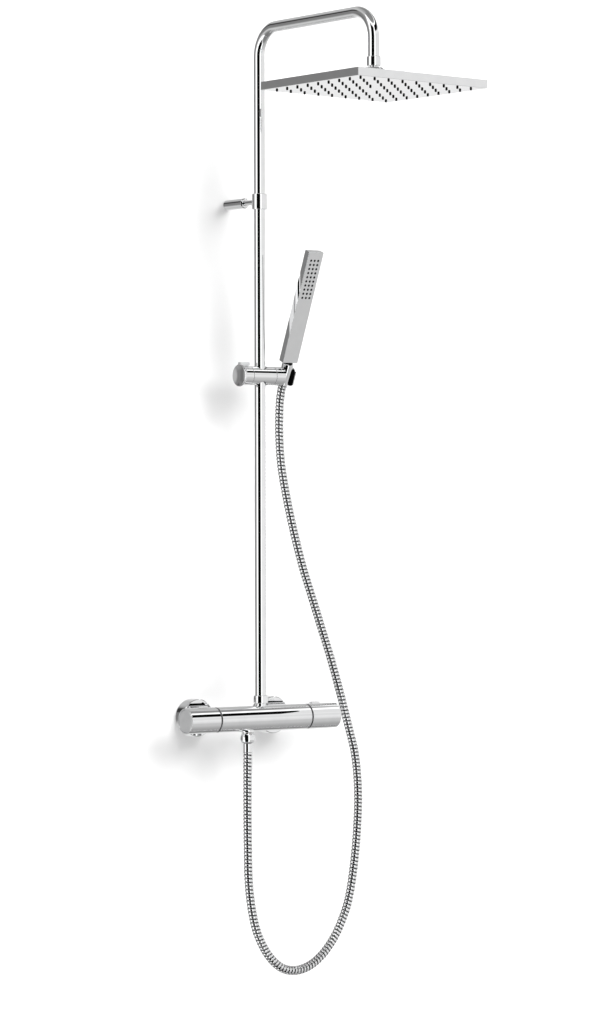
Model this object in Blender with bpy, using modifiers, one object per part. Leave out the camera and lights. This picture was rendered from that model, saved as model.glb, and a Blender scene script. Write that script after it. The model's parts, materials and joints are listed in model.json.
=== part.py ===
"""Rainfall shower column: a wall thermostatic mixer with a riser and overhead arm, a square
rain head on a ball joint, and a hand shower in a sliding holder on a free metal hose.

World frame, in metres: the wall is the plane y = 0, -Y points out of the wall, +Z is up,
and the mixer bar's axis is at z = 0.  The riser stands at x = 0.
"""

import math

import bmesh
import bpy
from mathutils import Matrix, Vector

# ---------------------------------------------------------------- driving dimensions
GAP = 0.0003            # left between pieces that touch

BAR_Y = -0.0890         # mixer bar and riser axis, out from the wall
BAR_R = 0.0205
SEAM_X = 0.0900         # seam between the body and each handle
BAR_END_X = 0.1477
INLET_X = 0.0750        # half of the standard 150 mm inlet centres
FLANGE_R = 0.0300
FLANGE_DEPTH = 0.0220
STUB_Y = -0.0577        # back face of the body's inlet stubs
OUTLET_X = -0.0258
OUTLET_Z = -0.0225

BUTTON_X = 0.1115       # middle of each handle's button
BUTTON_SIZE = (0.0170, 0.0068)
BUTTON_LEAN = 12.0      # degrees that the buttons sit behind the top of the bar

RISER_R = 0.0090
RISER_FOOT_Z = 0.0290
POST_Z = 0.8310         # wall post and its collar
ARM_Z = 1.1085          # axis of the overhead arm
ARM_Y = -0.3912         # axis of the drop tube and the head
BEND_R = 0.0450

BALL_Z = 1.0090         # centre of the head's ball joint
HEAD_SIDE = 0.2500
HEAD_THICK = 0.0130
HEAD_TOP = -0.0115      # head's top face, below the ball's centre
HEAD_TILT = 0.9         # degrees about Y, as the head hangs
NOZZLE_ROWS = 9
NOZZLE_PITCH = 0.0267

HOLDER_Z = 0.5508       # axis of the holder's barrel
BARREL_R = 0.0152
SOCKET_X = 0.0496       # where the hand shower's axis crosses the barrel's axis
HANDSET_LEAN = 22.4     # degrees forward of upright
HANDSET_FOOT = 0.0252   # the hand shower's lower end, above the barrel's axis
HANDSET_LENGTH = 0.1890
HANDSET_WIDTH = 0.0292
HANDSET_THICK = 0.0120
SPRAY_PITCH = 0.0070
SPRAY_TOP = 0.0143      # first row of holes, below the hand shower's upper end

HOSE_R = 0.0075
HOSE_SPACING = 0.034    # between the points of the hose's tube

# The hose's centreline from the mixer outlet, down, round its loop and up to the holder.
HOSE_ROUTE = [
    (-0.0258, -0.0890, -0.0540),
    (-0.0264, -0.0891, -0.1300),
    (-0.0262, -0.0895, -0.2001),
    (-0.0246, -0.0900, -0.2652),
    (-0.0178, -0.0903, -0.3136),
    (-0.0070, -0.0905, -0.3490),
    (0.0141, -0.0905, -0.3835),
    (0.0405, -0.0900, -0.4050),
    (0.0693, -0.0893, -0.4109),
    (0.0982, -0.0885, -0.4047),
    (0.1247, -0.0875, -0.3882),
    (0.1487, -0.0862, -0.3631),
    (0.1662, -0.0850, -0.3354),
    (0.1793, -0.0838, -0.3066),
    (0.1915, -0.0822, -0.2567),
    (0.2021, -0.0800, -0.1796),
    (0.2045, -0.0784, -0.1193),
    (0.1991, -0.0770, -0.0640),
    (0.1862, -0.0758, -0.0166),
    (0.1675, -0.0744, 0.0470),
    (0.1497, -0.0736, 0.1006),
    (0.1313, -0.0730, 0.1503),
    (0.1128, -0.0726, 0.2000),
    (0.0961, -0.0724, 0.2454),
    (0.0753, -0.0722, 0.3149),
    (0.0586, -0.0722, 0.3851),
    (0.0529, -0.0724, 0.4201),
    (0.0502, -0.0728, 0.4600),
    (0.0496, -0.0739, 0.4880),
    (0.0496, -0.0760, 0.5120),
    (0.0496, -0.0798, 0.5285),
    (0.0496, -0.0829, 0.5360),
]

# Where the hose's tube is divided, as heights on its rising side.
HOSE_LOW_X = 0.0693
HOSE_CUTS_Z = (0.2600, 0.3520, 0.4440)

# ---------------------------------------------------------------- scene and materials
for old in list(bpy.data.objects):
    bpy.data.objects.remove(old, do_unlink=True)


def make_collection(name):
    made = bpy.data.collections.get(name)
    if made is None:
        made = bpy.data.collections.new(name)
        bpy.context.scene.collection.children.link(made)
    return made


COLUMN = make_collection("rainfall_shower_column")
CUTTERS = make_collection("cutters")


def make_material(name, colour, roughness, metallic):
    made = bpy.data.materials.new(name)
    made.use_nodes = True
    shader = made.node_tree.nodes["Principled BSDF"]
    shader.inputs["Base Color"].default_value = (*colour, 1.0)
    shader.inputs["Roughness"].default_value = roughness
    shader.inputs["Metallic"].default_value = metallic
    made.diffuse_color = (*colour, 1.0)
    return made


FINISHES = {
    "chrome": ((0.80, 0.81, 0.83), 0.06, 1.0),
    "brass": ((0.72, 0.55, 0.30), 0.30, 1.0),
    "steel": ((0.60, 0.60, 0.62), 0.30, 1.0),
    "hose_metal": ((0.70, 0.71, 0.73), 0.18, 1.0),
    "dark_plastic": ((0.10, 0.10, 0.11), 0.45, 0.0),
    "white_plastic": ((0.82, 0.82, 0.80), 0.45, 0.0),
    "grey_plastic": ((0.62, 0.63, 0.65), 0.35, 0.0),
    "rubber": ((0.05, 0.05, 0.055), 0.60, 0.0),
}


def group(name, location=(0, 0, 0), parent=None, turn=(0, 0, 0)):
    """An empty that the pieces of one moving body hang on, placed on its joint's axis."""
    empty = bpy.data.objects.new(name, None)
    empty.empty_display_size = 0.02
    empty.location = location
    empty.rotation_euler = [math.radians(a) for a in turn]
    empty.parent = parent
    COLUMN.objects.link(empty)
    return empty


def add_object(name, data, finish, parent, location=(0, 0, 0), turn=(0, 0, 0)):
    """Link a piece, or a cutter where finish is None."""
    piece = bpy.data.objects.new(name, data)
    piece.location = location
    piece.rotation_euler = [math.radians(a) for a in turn]
    piece.parent = parent
    if finish is None:
        CUTTERS.objects.link(piece)
        piece.hide_render = True
        piece.display_type = "WIRE"
    else:
        COLUMN.objects.link(piece)
        data.materials.append(make_material(name + "_" + finish, *FINISHES[finish]))
    return piece


# ---------------------------------------------------------------- ways to make a piece
AXIS_TURN = {
    "+Z": (0, 0, 0),
    "+X": (0, 90, 0),
    "-X": (0, -90, 0),
    "+Y": (-90, 0, 0),
    "-Y": (90, 0, 0),
}


def turned(name, profile, finish, parent, location=(0, 0, 0), axis="+Z", steps=20, ring=False):
    """Spin a profile of (radius, height) points, listed from the top down, about an axis."""
    mesh = bpy.data.meshes.new(name)
    points = [(radius, 0, height) for radius, height in profile]
    edges = [(i, i + 1) for i in range(len(points) - 1)]
    if ring:
        edges.append((len(points) - 1, 0))
    mesh.from_pydata(points, edges, [])
    piece = add_object(name, mesh, finish, parent, location, AXIS_TURN[axis])
    spin = piece.modifiers.new("spin", "SCREW")
    spin.axis = "Z"
    spin.angle = math.tau
    spin.steps = steps
    spin.render_steps = steps
    spin.use_merge_vertices = True
    spin.merge_threshold = 0.00001
    return piece


def rod(name, radius, low, high, finish, parent, location=(0, 0, 0), axis="+Z", steps=20):
    profile = [(0, high), (radius, high), (radius, low), (0, low)]
    return turned(name, profile, finish, parent, location, axis, steps)


def washer(name, inner, outer, low, high, finish, parent, location=(0, 0, 0), axis="+Z", steps=20):
    profile = [(outer, high), (outer, low), (inner, low), (inner, high)]
    return turned(name, profile, finish, parent, location, axis, steps, ring=True)


def box(name, low, high, finish, parent, location=(0, 0, 0), turn=(0, 0, 0)):
    """A block between two corners."""
    shape = bmesh.new()
    bmesh.ops.create_cube(shape, size=1.0)
    size = [h - l for l, h in zip(low, high)]
    middle = [(l + h) / 2 for l, h in zip(low, high)]
    bmesh.ops.transform(
        shape,
        matrix=Matrix.Translation(middle) @ Matrix.Diagonal((*size, 1.0)),
        verts=shape.verts,
    )
    mesh = bpy.data.meshes.new(name)
    shape.to_mesh(mesh)
    shape.free()
    return add_object(name, mesh, finish, parent, location, turn)


def extruded(name, outline, low, high, finish, parent, location=(0, 0, 0)):
    """An (x, z) outline extruded along Y."""
    shape = bmesh.new()
    near = [shape.verts.new((x, low, z)) for x, z in outline]
    far = [shape.verts.new((x, high, z)) for x, z in outline]
    shape.faces.new(near)
    shape.faces.new(reversed(far))
    for i in range(len(outline)):
        j = (i + 1) % len(outline)
        shape.faces.new((near[i], far[i], far[j], near[j]))
    bmesh.ops.recalc_face_normals(shape, faces=shape.faces)
    mesh = bpy.data.meshes.new(name)
    shape.to_mesh(mesh)
    shape.free()
    return add_object(name, mesh, finish, parent, location)


def prisms(name, centres, radius, low, high, parent, location=(0, 0, 0), turn=(0, 0, 0)):
    """One cutter that holds a six-sided prism along local Z at each (x, y)."""
    shape = bmesh.new()
    for x, y in centres:
        place = Matrix.Translation((x, y, (low + high) / 2))
        bmesh.ops.create_cone(
            shape,
            cap_ends=True,
            segments=6,
            radius1=radius,
            radius2=radius,
            depth=high - low,
            matrix=place,
        )
    mesh = bpy.data.meshes.new(name)
    shape.to_mesh(mesh)
    shape.free()
    return add_object(name, mesh, None, parent, location, turn)


def combine(piece, other, operation):
    step = piece.modifiers.new(other.name, "BOOLEAN")
    step.operation = operation
    step.solver = "EXACT"
    step.object = other
    return piece


def cut(piece, *cutters):
    for cutter in cutters:
        combine(piece, cutter, "DIFFERENCE")
    return piece


def join(piece, *others):
    for other in others:
        combine(piece, other, "UNION")
    return piece


def tube(name, points, radius, finish, parent, resolution=3, location=(0, 0, 0)):
    """A round bar along a list of points."""
    curve = bpy.data.curves.new(name, "CURVE")
    curve.dimensions = "3D"
    curve.bevel_depth = radius
    curve.bevel_resolution = resolution
    curve.use_fill_caps = True
    curve.twist_mode = "MINIMUM"
    line = curve.splines.new("POLY")
    line.points.add(len(points) - 1)
    for point, where in zip(line.points, points):
        point.co = (*where, 1.0)
    return add_object(name, curve, finish, parent, location)


def arc(centre, radius, start, end, steps):
    """Points (y, z) of an arc in the YZ plane, angles in degrees from +Y towards +Z."""
    found = []
    for i in range(steps + 1):
        angle = math.radians(start + (end - start) * i / steps)
        found.append((centre[0] + radius * math.cos(angle), centre[1] + radius * math.sin(angle)))
    return found


def sphere_arc(radius, start, end, steps):
    """Profile points (radius, height) on a sphere, angles in degrees above its equator."""
    found = []
    for i in range(steps + 1):
        angle = math.radians(start + (end - start) * i / steps)
        found.append((radius * math.cos(angle), radius * math.sin(angle)))
    return found


# ---------------------------------------------------------------- the mixer
def mixer_body(root):
    bar = (0, BAR_Y, 0)
    end = SEAM_X - 0.0014
    body = rod("mixer_body", BAR_R, -end, end, "chrome", root, bar, "+X", 28)
    for side in (-1, 1):
        at = (side * INLET_X, BAR_Y, 0)
        stub = rod(f"stub_{side}", 0.0135, 0.0, STUB_Y - BAR_Y, None, root, at, "+Y", 16)
        join(body, stub)
    neck = rod("riser_neck", 0.0085, 0.0, 0.0270, None, root, bar, "+Z", 16)
    at = (OUTLET_X, BAR_Y, 0)
    boss_profile = [(0, 0.0), (0.0100, 0.0), (0.0112, -0.0190), (0.0104, OUTLET_Z), (0, OUTLET_Z)]
    boss = turned("outlet_boss", boss_profile, None, root, at, "+Z", 16)
    join(body, neck, boss)
    for side in (-1, 1):
        axis = "+X" if side > 0 else "-X"
        chamber = rod(f"chamber_{side}", 0.0150, 0.0220, 0.0950, None, root, bar, axis, 16)
        at = (side * INLET_X, BAR_Y, 0)
        port = rod(f"port_{side}", 0.0072, 0.0100, 0.0400, None, root, at, "+Y", 12)
        cut(body, chamber, port)
    passage = rod("passage", 0.0045, -0.0300, 0.0300, None, root, bar, "+X", 12)
    riser_port = rod("riser_port", 0.0055, 0.0, 0.0300, None, root, bar, "+Z", 12)
    at = (OUTLET_X, BAR_Y, 0)
    outlet_port = rod("outlet_port", 0.0065, -0.0300, -0.0100, None, root, at, "+Z", 12)
    cut(body, passage, riser_port, outlet_port)


def inlet(side, word, root):
    """The union, nut, flange, filter and check valve that join one inlet to the wall."""
    at = (side * INLET_X, 0, 0)
    front = STUB_Y + 0.0020
    profile = [
        (0.0130, -front),
        (0.0130, -front - 0.0025),
        (0.0102, -front - 0.0025),
        (0.0102, 0.0005),
        (0.0070, 0.0005),
        (0.0070, -front),
    ]
    turned(f"{word}_union", profile, "chrome", root, at, "-Y", 16, ring=True)
    profile = [
        (0.0172, 0.0668),
        (0.0172, 0.0490),
        (0.0160, 0.0480),
        (0.0106, 0.0480),
        (0.0106, 0.0520),
        (0.0139, 0.0520),
        (0.0139, 0.0668),
    ]
    turned(f"{word}_union_nut", profile, "chrome", root, at, "-Y", 16, ring=True)
    profile = [
        (FLANGE_R - 0.0020, FLANGE_DEPTH),
        (FLANGE_R - 0.0006, FLANGE_DEPTH - 0.0006),
        (FLANGE_R, FLANGE_DEPTH - 0.0020),
        (FLANGE_R, 0.0),
        (FLANGE_R - 0.0020, 0.0),
        (FLANGE_R - 0.0020, FLANGE_DEPTH - 0.0020),
        (0.0106, FLANGE_DEPTH - 0.0020),
        (0.0106, FLANGE_DEPTH),
    ]
    turned(f"{word}_wall_flange", profile, "chrome", root, at, "-Y", 28, ring=True)
    low = -front + GAP
    high = -STUB_Y - GAP
    washer(f"{word}_inlet_filter", 0.0060, 0.0125, low, high, "rubber", root, at, "-Y", 14)
    low = -STUB_Y + GAP
    washer(f"{word}_check_valve", 0.0030, 0.0069, low, 0.0668, "white_plastic", root, at, "-Y", 12)


def cartridge(name, axis, root):
    """A cartridge that fills one end of the body, bored for the spindle that turns in it."""
    profile = [
        (0, 0.0600),
        (0.0045, 0.0600),
        (0.0045, SEAM_X + 0.0030),
        (0.0088, SEAM_X + 0.0030),
        (0.0088, SEAM_X - 0.0020),
        (0.0146, SEAM_X - 0.0020),
        (0.0146, INLET_X + 0.0090),
        (0.0105, INLET_X + 0.0080),
        (0.0105, INLET_X - 0.0080),
        (0.0146, INLET_X - 0.0090),
        (0.0146, 0.0440),
        (0.0110, 0.0430),
        (0.0110, 0.0240),
        (0, 0.0240),
    ]
    turned(name, profile, "brass", root, (0, BAR_Y, 0), axis, 16)


def handle(side, word, root):
    """One end handle with its stop ring, spindle, screw, end cap and button."""
    axis = "+X" if side > 0 else "-X"
    washer(f"{word}_stop_ring", 0.0092, BAR_R - 0.0008, SEAM_X - 0.0011, SEAM_X + 0.0011,
           "dark_plastic", root, (0, BAR_Y, 0), axis, 24)
    turn = group(f"{word}_handle_axis", (side * SEAM_X, BAR_Y, 0), root)
    end = BAR_END_X - SEAM_X
    profile = [
        (BAR_R - 0.0008, end),
        (BAR_R, end - 0.0008),
        (BAR_R, 0.0014),
        (0.0178, 0.0014),
        (0.0178, 0.0140),
        (0.0080, 0.0140),
        (0.0080, 0.0100),
        (0.0043, 0.0100),
        (0.0043, 0.0240),
        (0.0023, 0.0240),
        (0.0023, 0.0290),
        (0.0080, 0.0290),
        (0.0080, 0.0180),
        (0.0178, 0.0180),
        (0.0178, end - 0.0030),
        (0.0187, end - 0.0030),
        (0.0187, end),
    ]
    shell = turned(f"{word}_handle", profile, "chrome", turn, (0, 0, 0), axis, 28, ring=True)
    profile = [
        (0.0176, end),
        (0.0184, end - 0.0006),
        (0.0184, end - 0.0027),
        (0, end - 0.0027),
    ]
    turned(f"{word}_handle_cap", [(0, end)] + profile, "chrome", turn, (0, 0, 0), axis, 24)
    spindle = [
        (0, 0.0160),
        (0.0017, 0.0160),
        (0.0017, 0.0236),
        (0.0040, 0.0236),
        (0.0040, -0.0280),
        (0, -0.0280),
    ]
    turned(f"{word}_spindle", spindle, "brass", turn, (0, 0, 0), axis, 12)
    screw = [
        (0, 0.0318),
        (0.0036, 0.0318),
        (0.0036, 0.0293),
        (0.0014, 0.0293),
        (0.0014, 0.0165),
        (0, 0.0165),
    ]
    turned(f"{word}_handle_screw", screw, "steel", turn, (0, 0, 0), axis, 12)

    middle = side * (BUTTON_X - SEAM_X)
    lean = (-BUTTON_LEAN, 0, 0)
    seat = group(f"{word}_button_axis", (middle, 0, 0), turn, lean)
    x = BUTTON_SIZE[0] / 2
    y = BUTTON_SIZE[1] / 2
    box(f"{word}_button", (-x, -y, 0.0172), (x, y, 0.0232), "chrome", seat)
    slot = box(f"{word}_button_slot", (-x - GAP, -y - GAP, 0.0100), (x + GAP, y + GAP, 0.0260), None, seat)
    cut(shell, slot)


# ---------------------------------------------------------------- riser, arm and wall post
def riser(root):
    axis = (0, BAR_Y, 0)
    profile = [
        (0.0110, 0.0366),
        (0.0117, 0.0358),
        (0.0117, 0.0252),
        (0.0108, 0.0240),
        (0.0088, 0.0240),
        (0.0088, 0.0272),
        (0.0093, 0.0272),
        (0.0093, 0.0366),
    ]
    turned("riser_nut", profile, "chrome", root, axis, "+Z", 20, ring=True)
    washer("riser_seal", 0.0060, 0.0086, 0.0273, RISER_FOOT_Z - GAP, "rubber", root, axis, "+Z", 14)
    foot = (0, BAR_Y, RISER_FOOT_Z)
    tube("riser_tube", [foot, (0, BAR_Y, POST_Z - GAP)], RISER_R, "chrome", root, 8)

    top = ARM_Z - BEND_R
    points = [(BAR_Y, POST_Z + GAP), (BAR_Y, top - 0.0020)]
    points += arc((BAR_Y - BEND_R, top), BEND_R, 0, 90, 10)
    points += arc((ARM_Y + BEND_R, top), BEND_R, 90, 180, 10)
    points += [(ARM_Y, BALL_Z + 0.0175)]
    tube("arm_tube", [(0, y, z) for y, z in points], RISER_R, "chrome", root, 6)


def wall_post(root):
    """The collar on the riser's joint, and the rod, sleeve and anchor behind it."""
    axis = (0, BAR_Y, POST_Z)
    wall = (0, 0, POST_Z)
    collar = washer("post_collar", 0.0093, 0.0123, -0.0125, 0.0125, "chrome", root, axis, "+Z", 24)
    hole = rod("collar_rod_hole", 0.0044, 0.0, 0.0200, None, root, axis, "+Y", 12)
    tapped = rod("collar_screw_hole", 0.0018, 0.0, 0.0200, None, root, (0, BAR_Y, POST_Z - 0.0070), "+X", 12)
    cut(collar, hole, tapped)
    rod("collar_grub_screw", 0.0015, 0.0094, 0.0118, "steel", root, (0, BAR_Y, POST_Z - 0.0070), "+X", 12)
    rod("post_rod", 0.0041, 0.0120, -BAR_Y - 0.0096, "chrome", root, wall, "-Y", 14)
    profile = [
        (0.0068, 0.0500),
        (0.0083, 0.0485),
        (0.0083, 0.0),
        (0.0066, 0.0),
        (0.0066, 0.0470),
        (0.0044, 0.0470),
        (0.0044, 0.0500),
    ]
    turned("post_sleeve", profile, "chrome", root, wall, "-Y", 20, ring=True)
    profile = [
        (0.0063, 0.0240),
        (0.0063, 0.0),
        (0.0022, 0.0),
        (0.0022, 0.0110),
        (0.0044, 0.0110),
        (0.0044, 0.0240),
    ]
    turned("post_anchor", profile, "brass", root, wall, "-Y", 14, ring=True)


# ---------------------------------------------------------------- the rain head
def nozzle_grid():
    middle = (NOZZLE_ROWS - 1) / 2
    found = []
    for i in range(NOZZLE_ROWS):
        for j in range(NOZZLE_ROWS):
            if (i, j) != (middle, middle):
                found.append(((i - middle) * NOZZLE_PITCH, (j - middle) * NOZZLE_PITCH))
    return found


def ball_joint(root):
    at = (0, ARM_Y, BALL_Z)
    profile = [
        (0.0104, 0.0262),
        (0.0112, 0.0254),
        (0.0112, 0.0122),
        (0.0104, 0.0114),
        (0.0063, 0.0114),
        (0.0063, 0.0170),
        (0.0093, 0.0170),
        (0.0093, 0.0262),
    ]
    turned("arm_nut", profile, "chrome", root, at, "+Z", 20, ring=True)
    neck = math.degrees(math.acos(0.0060 / 0.0086))
    profile = [(0.0060, 0.0166)] + sphere_arc(0.0086, neck, -65, 8)
    profile += [(0.0030, profile[-1][1]), (0.0030, 0.0166)]
    turned("swivel_ball", profile, "steel", root, at, "+Z", 16, ring=True)


def ball_seat(roll):
    profile = sphere_arc(0.0106, -8, -45, 4) + sphere_arc(0.00885, -45, -8, 4)
    turned("ball_seat", profile, "white_plastic", roll, (0, 0, 0), "+Z", 16, ring=True)


def rain_head(head):
    """Everything that tilts with the head, measured from the ball's centre."""
    profile = [(0.0135, 0.0090), (0.0170, 0.0060), (0.0170, 0.0008)]
    profile += sphere_arc(0.0089, 5.2, 28, 4)
    profile += [(0.0078, 0.0048), (0.0078, 0.0090)]
    turned("ball_collar", profile, "chrome", head, (0, 0, 0), "+Z", 20, ring=True)

    profile = [(0.0170, 0.0005), (0.0170, HEAD_TOP + GAP), (0.0100, HEAD_TOP + GAP), (0.0100, -0.0160)]
    profile += [(0.0040, -0.0160), (0.0040, -0.0102)]
    profile += sphere_arc(0.01095, -68, 2, 7)
    turned("head_boss", profile, "chrome", head, (0, 0, 0), "+Z", 20, ring=True)

    half = HEAD_SIDE / 2
    bottom = HEAD_TOP - HEAD_THICK
    shell = box("head_shell", (-half, -half, bottom), (half, half, HEAD_TOP), "chrome", head)
    inner = half - 0.0015
    room = box("head_room", (-inner, -inner, bottom - 0.0100), (inner, inner, HEAD_TOP - 0.0015), None, head)
    hole = rod("head_hole", 0.0103, -0.0200, 0.0, None, head, (0, 0, 0), "+Z", 16)
    cut(shell, room, hole)

    side = 0.1200
    tray = box("head_tray", (-side, -side, -0.0210), (side, side, -0.0163), "white_plastic", head)
    side -= 0.0020
    room = box("tray_room", (-side, -side, -0.0300), (side, side, -0.0178), None, head)
    hole = rod("tray_hole", 0.0050, -0.0200, 0.0, None, head, (0, 0, 0), "+Z", 12)
    cut(tray, room, hole)

    grid = nozzle_grid()
    side = 0.1200
    mat = box("nozzle_mat", (-side, -side, -0.0228), (side, side, -0.0213), "rubber", head)
    nubs = prisms("nozzle_nubs", grid, 0.0017, bottom - 0.0026, -0.0220, head)
    join(mat, nubs)

    side = half - 0.0018
    face = box("head_face", (-side, -side, bottom), (side, side, bottom + 0.0014), "chrome", head)
    holes = prisms("nozzle_holes", grid, 0.0020, bottom - 0.0050, bottom + 0.0050, head)
    cut(face, holes)


# ---------------------------------------------------------------- outlet and hose
def outlet(root):
    at = (OUTLET_X, BAR_Y, 0)
    washer("outlet_nipple", 0.0040, 0.0062, -0.0345, -0.0155, "brass", root, at, "+Z", 14)
    profile = [
        (0.0092, -0.0228),
        (0.0112, -0.0250),
        (0.0121, -0.0290),
        (0.0121, -0.0340),
        (0.0112, -0.0374),
        (0.0092, -0.0392),
        (0.0056, -0.0392),
        (0.0056, -0.0370),
        (0.0066, -0.0370),
        (0.0066, -0.0228),
    ]
    turned("lower_hose_nut", profile, "chrome", root, at, "+Z", 20, ring=True)
    profile = [
        (0.0053, -0.0349),
        (0.0053, -0.0395),
        (0.0070, -0.0395),
        (0.0074, -0.0399),
        (0.0074, -0.0537),
        (0.0035, -0.0537),
        (0.0035, -0.0349),
    ]
    turned("lower_ferrule", profile, "chrome", root, at, "+Z", 16, ring=True)


def smooth_route(route, steps=24):
    """Many points on a smooth curve through the route's points."""
    knots = [Vector(p) for p in route]
    knots = [knots[0] * 2 - knots[1]] + knots + [knots[-1] * 2 - knots[-2]]
    found = []
    for before, start, end, after in zip(knots, knots[1:], knots[2:], knots[3:]):
        times = [0.0]
        for a, b in ((before, start), (start, end), (end, after)):
            times.append(times[-1] + math.sqrt((b - a).length))
        t0, t1, t2, t3 = times
        for i in range(steps):
            t = t1 + (t2 - t1) * i / steps
            a1 = before * ((t1 - t) / (t1 - t0)) + start * ((t - t0) / (t1 - t0))
            a2 = start * ((t2 - t) / (t2 - t1)) + end * ((t - t1) / (t2 - t1))
            a3 = end * ((t3 - t) / (t3 - t2)) + after * ((t - t2) / (t3 - t2))
            b1 = a1 * ((t2 - t) / (t2 - t0)) + a2 * ((t - t0) / (t2 - t0))
            b2 = a2 * ((t3 - t) / (t3 - t1)) + a3 * ((t - t1) / (t3 - t1))
            found.append(b1 * ((t2 - t) / (t2 - t1)) + b2 * ((t - t1) / (t2 - t1)))
    found.append(knots[-2])
    return found


def lengths_along(points):
    found = [0.0]
    for a, b in zip(points, points[1:]):
        found.append(found[-1] + (b - a).length)
    return found


def point_at(points, lengths, distance):
    for i in range(1, len(points)):
        if lengths[i] >= distance:
            share = (distance - lengths[i - 1]) / (lengths[i] - lengths[i - 1])
            return points[i - 1].lerp(points[i], share)
    return points[-1]


def hose_cuts(points, lengths):
    """Distances along the hose where its tube is divided."""
    low = next(i for i, p in enumerate(points) if p.x > HOSE_LOW_X)
    found = [0.0, lengths[low]]
    for height in HOSE_CUTS_Z:
        i = next(i for i, p in enumerate(points) if i > low and p.z > height)
        found.append(lengths[i])
    return found + [lengths[-1]]


def hose(parents):
    points = smooth_route(HOSE_ROUTE)
    lengths = lengths_along(points)
    print(f"hose length {lengths[-1]:.4f} m")
    cuts = hose_cuts(points, lengths)
    names = ("hose_lower", "hose_rise", "hose_bend", "hose_tilt", "hose_top")
    for name, parent, start, end in zip(names, parents, cuts, cuts[1:]):
        start += GAP
        end -= GAP
        count = max(2, round((end - start) / HOSE_SPACING))
        distances = [start + (end - start) * i / count for i in range(count + 1)]
        distances = [start, start + 0.002] + distances[1:-1] + [end - 0.002, end]
        # The points are found in the world and handed over in the parent's own frame.
        bpy.context.view_layer.update()
        back = parent.matrix_world.inverted()
        line = [back @ point_at(points, lengths, d) for d in distances]
        tube(name, line, HOSE_R, "hose_metal", parent, 2)


# ---------------------------------------------------------------- the sliding holder
def slider(slide):
    washer("slider_bush", 0.00935, 0.0114, -0.0090, 0.0090, "dark_plastic", slide, (0, 0, 0), "+Z", 20)


def holder(turn):
    body = rod("holder_body", BARREL_R, -0.0214, 0.0234, "chrome", turn, (0, 0, 0), "+X", 28)
    cross = rod("holder_cross_bore", 0.0118, -0.0300, 0.0300, None, turn, (0, 0, 0), "+Z", 20)
    bore = rod("holder_bore", 0.0052, -0.0300, 0.0300, None, turn, (0, 0, 0), "+X", 12)
    cut(body, cross, bore)


def lock_knob(knob):
    """The locking knob, dished at its end, with its lever on top; X runs along the barrel."""
    profile = [
        (0, -0.0120),
        (0.0048, -0.0120),
        (0.0048, -0.0218),
        (BARREL_R, -0.0218),
        (BARREL_R, -0.0362),
        (0.0176, -0.0385),
        (0.0180, -0.0405),
        (0.0172, -0.0418),
        (0.0160, -0.0414),
        (0.0080, -0.0398),
        (0, -0.0392),
    ]
    turned("holder_knob", profile, "chrome", knob, (0, 0, 0), "+X", 24)
    outline = [
        (-0.0412, 0.0184),
        (-0.0378, 0.0184),
        (-0.0350, 0.0155),
        (-0.0222, 0.0155),
        (-0.0222, 0.0213),
        (-0.0412, 0.0213),
    ]
    extruded("holder_lever", outline, -0.0035, 0.0035, "grey_plastic", knob)


def socket(tilt):
    """The swivel end that the hand shower's cone drops into, measured from the barrel's axis."""
    profile = [
        (0, 0.0628),
        (BARREL_R - 0.0006, 0.0628),
        (BARREL_R, 0.0622),
        (BARREL_R, 0.0238),
        (0.0048, 0.0238),
        (0.0048, 0.0130),
        (0, 0.0130),
    ]
    body = turned("holder_socket", profile, "chrome", tilt, (0, 0, 0), "+X", 28)
    lean = group("socket_lean", (SOCKET_X, 0, 0), tilt, (HANDSET_LEAN, 0, 0))
    cone = [(0, 0.0200), (0.0103, 0.0200), (0.0101, 0.0160), (0.0085, -0.0200), (0, -0.0200)]
    bore = turned("socket_cone", cone, None, lean, (0, 0, 0), "+Z", 20)
    slot = box("socket_slot", (-0.0079, -0.0300, -0.0300), (0.0112, 0.0, 0.0300), None, lean)
    lip = box("socket_lip", (-0.0079, -0.0300, -0.0300), (0.0200, -0.0108, 0.0300), None, lean)
    cut(body, bore, slot, lip)


# ---------------------------------------------------------------- the hand shower
def spray_grid():
    """(x, z) of the hand shower's holes, three across and ten down."""
    top = HANDSET_FOOT + HANDSET_LENGTH - SPRAY_TOP
    return [(x * SPRAY_PITCH, top - row * SPRAY_PITCH) for row in range(10) for x in (-1, 0, 1)]


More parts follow.
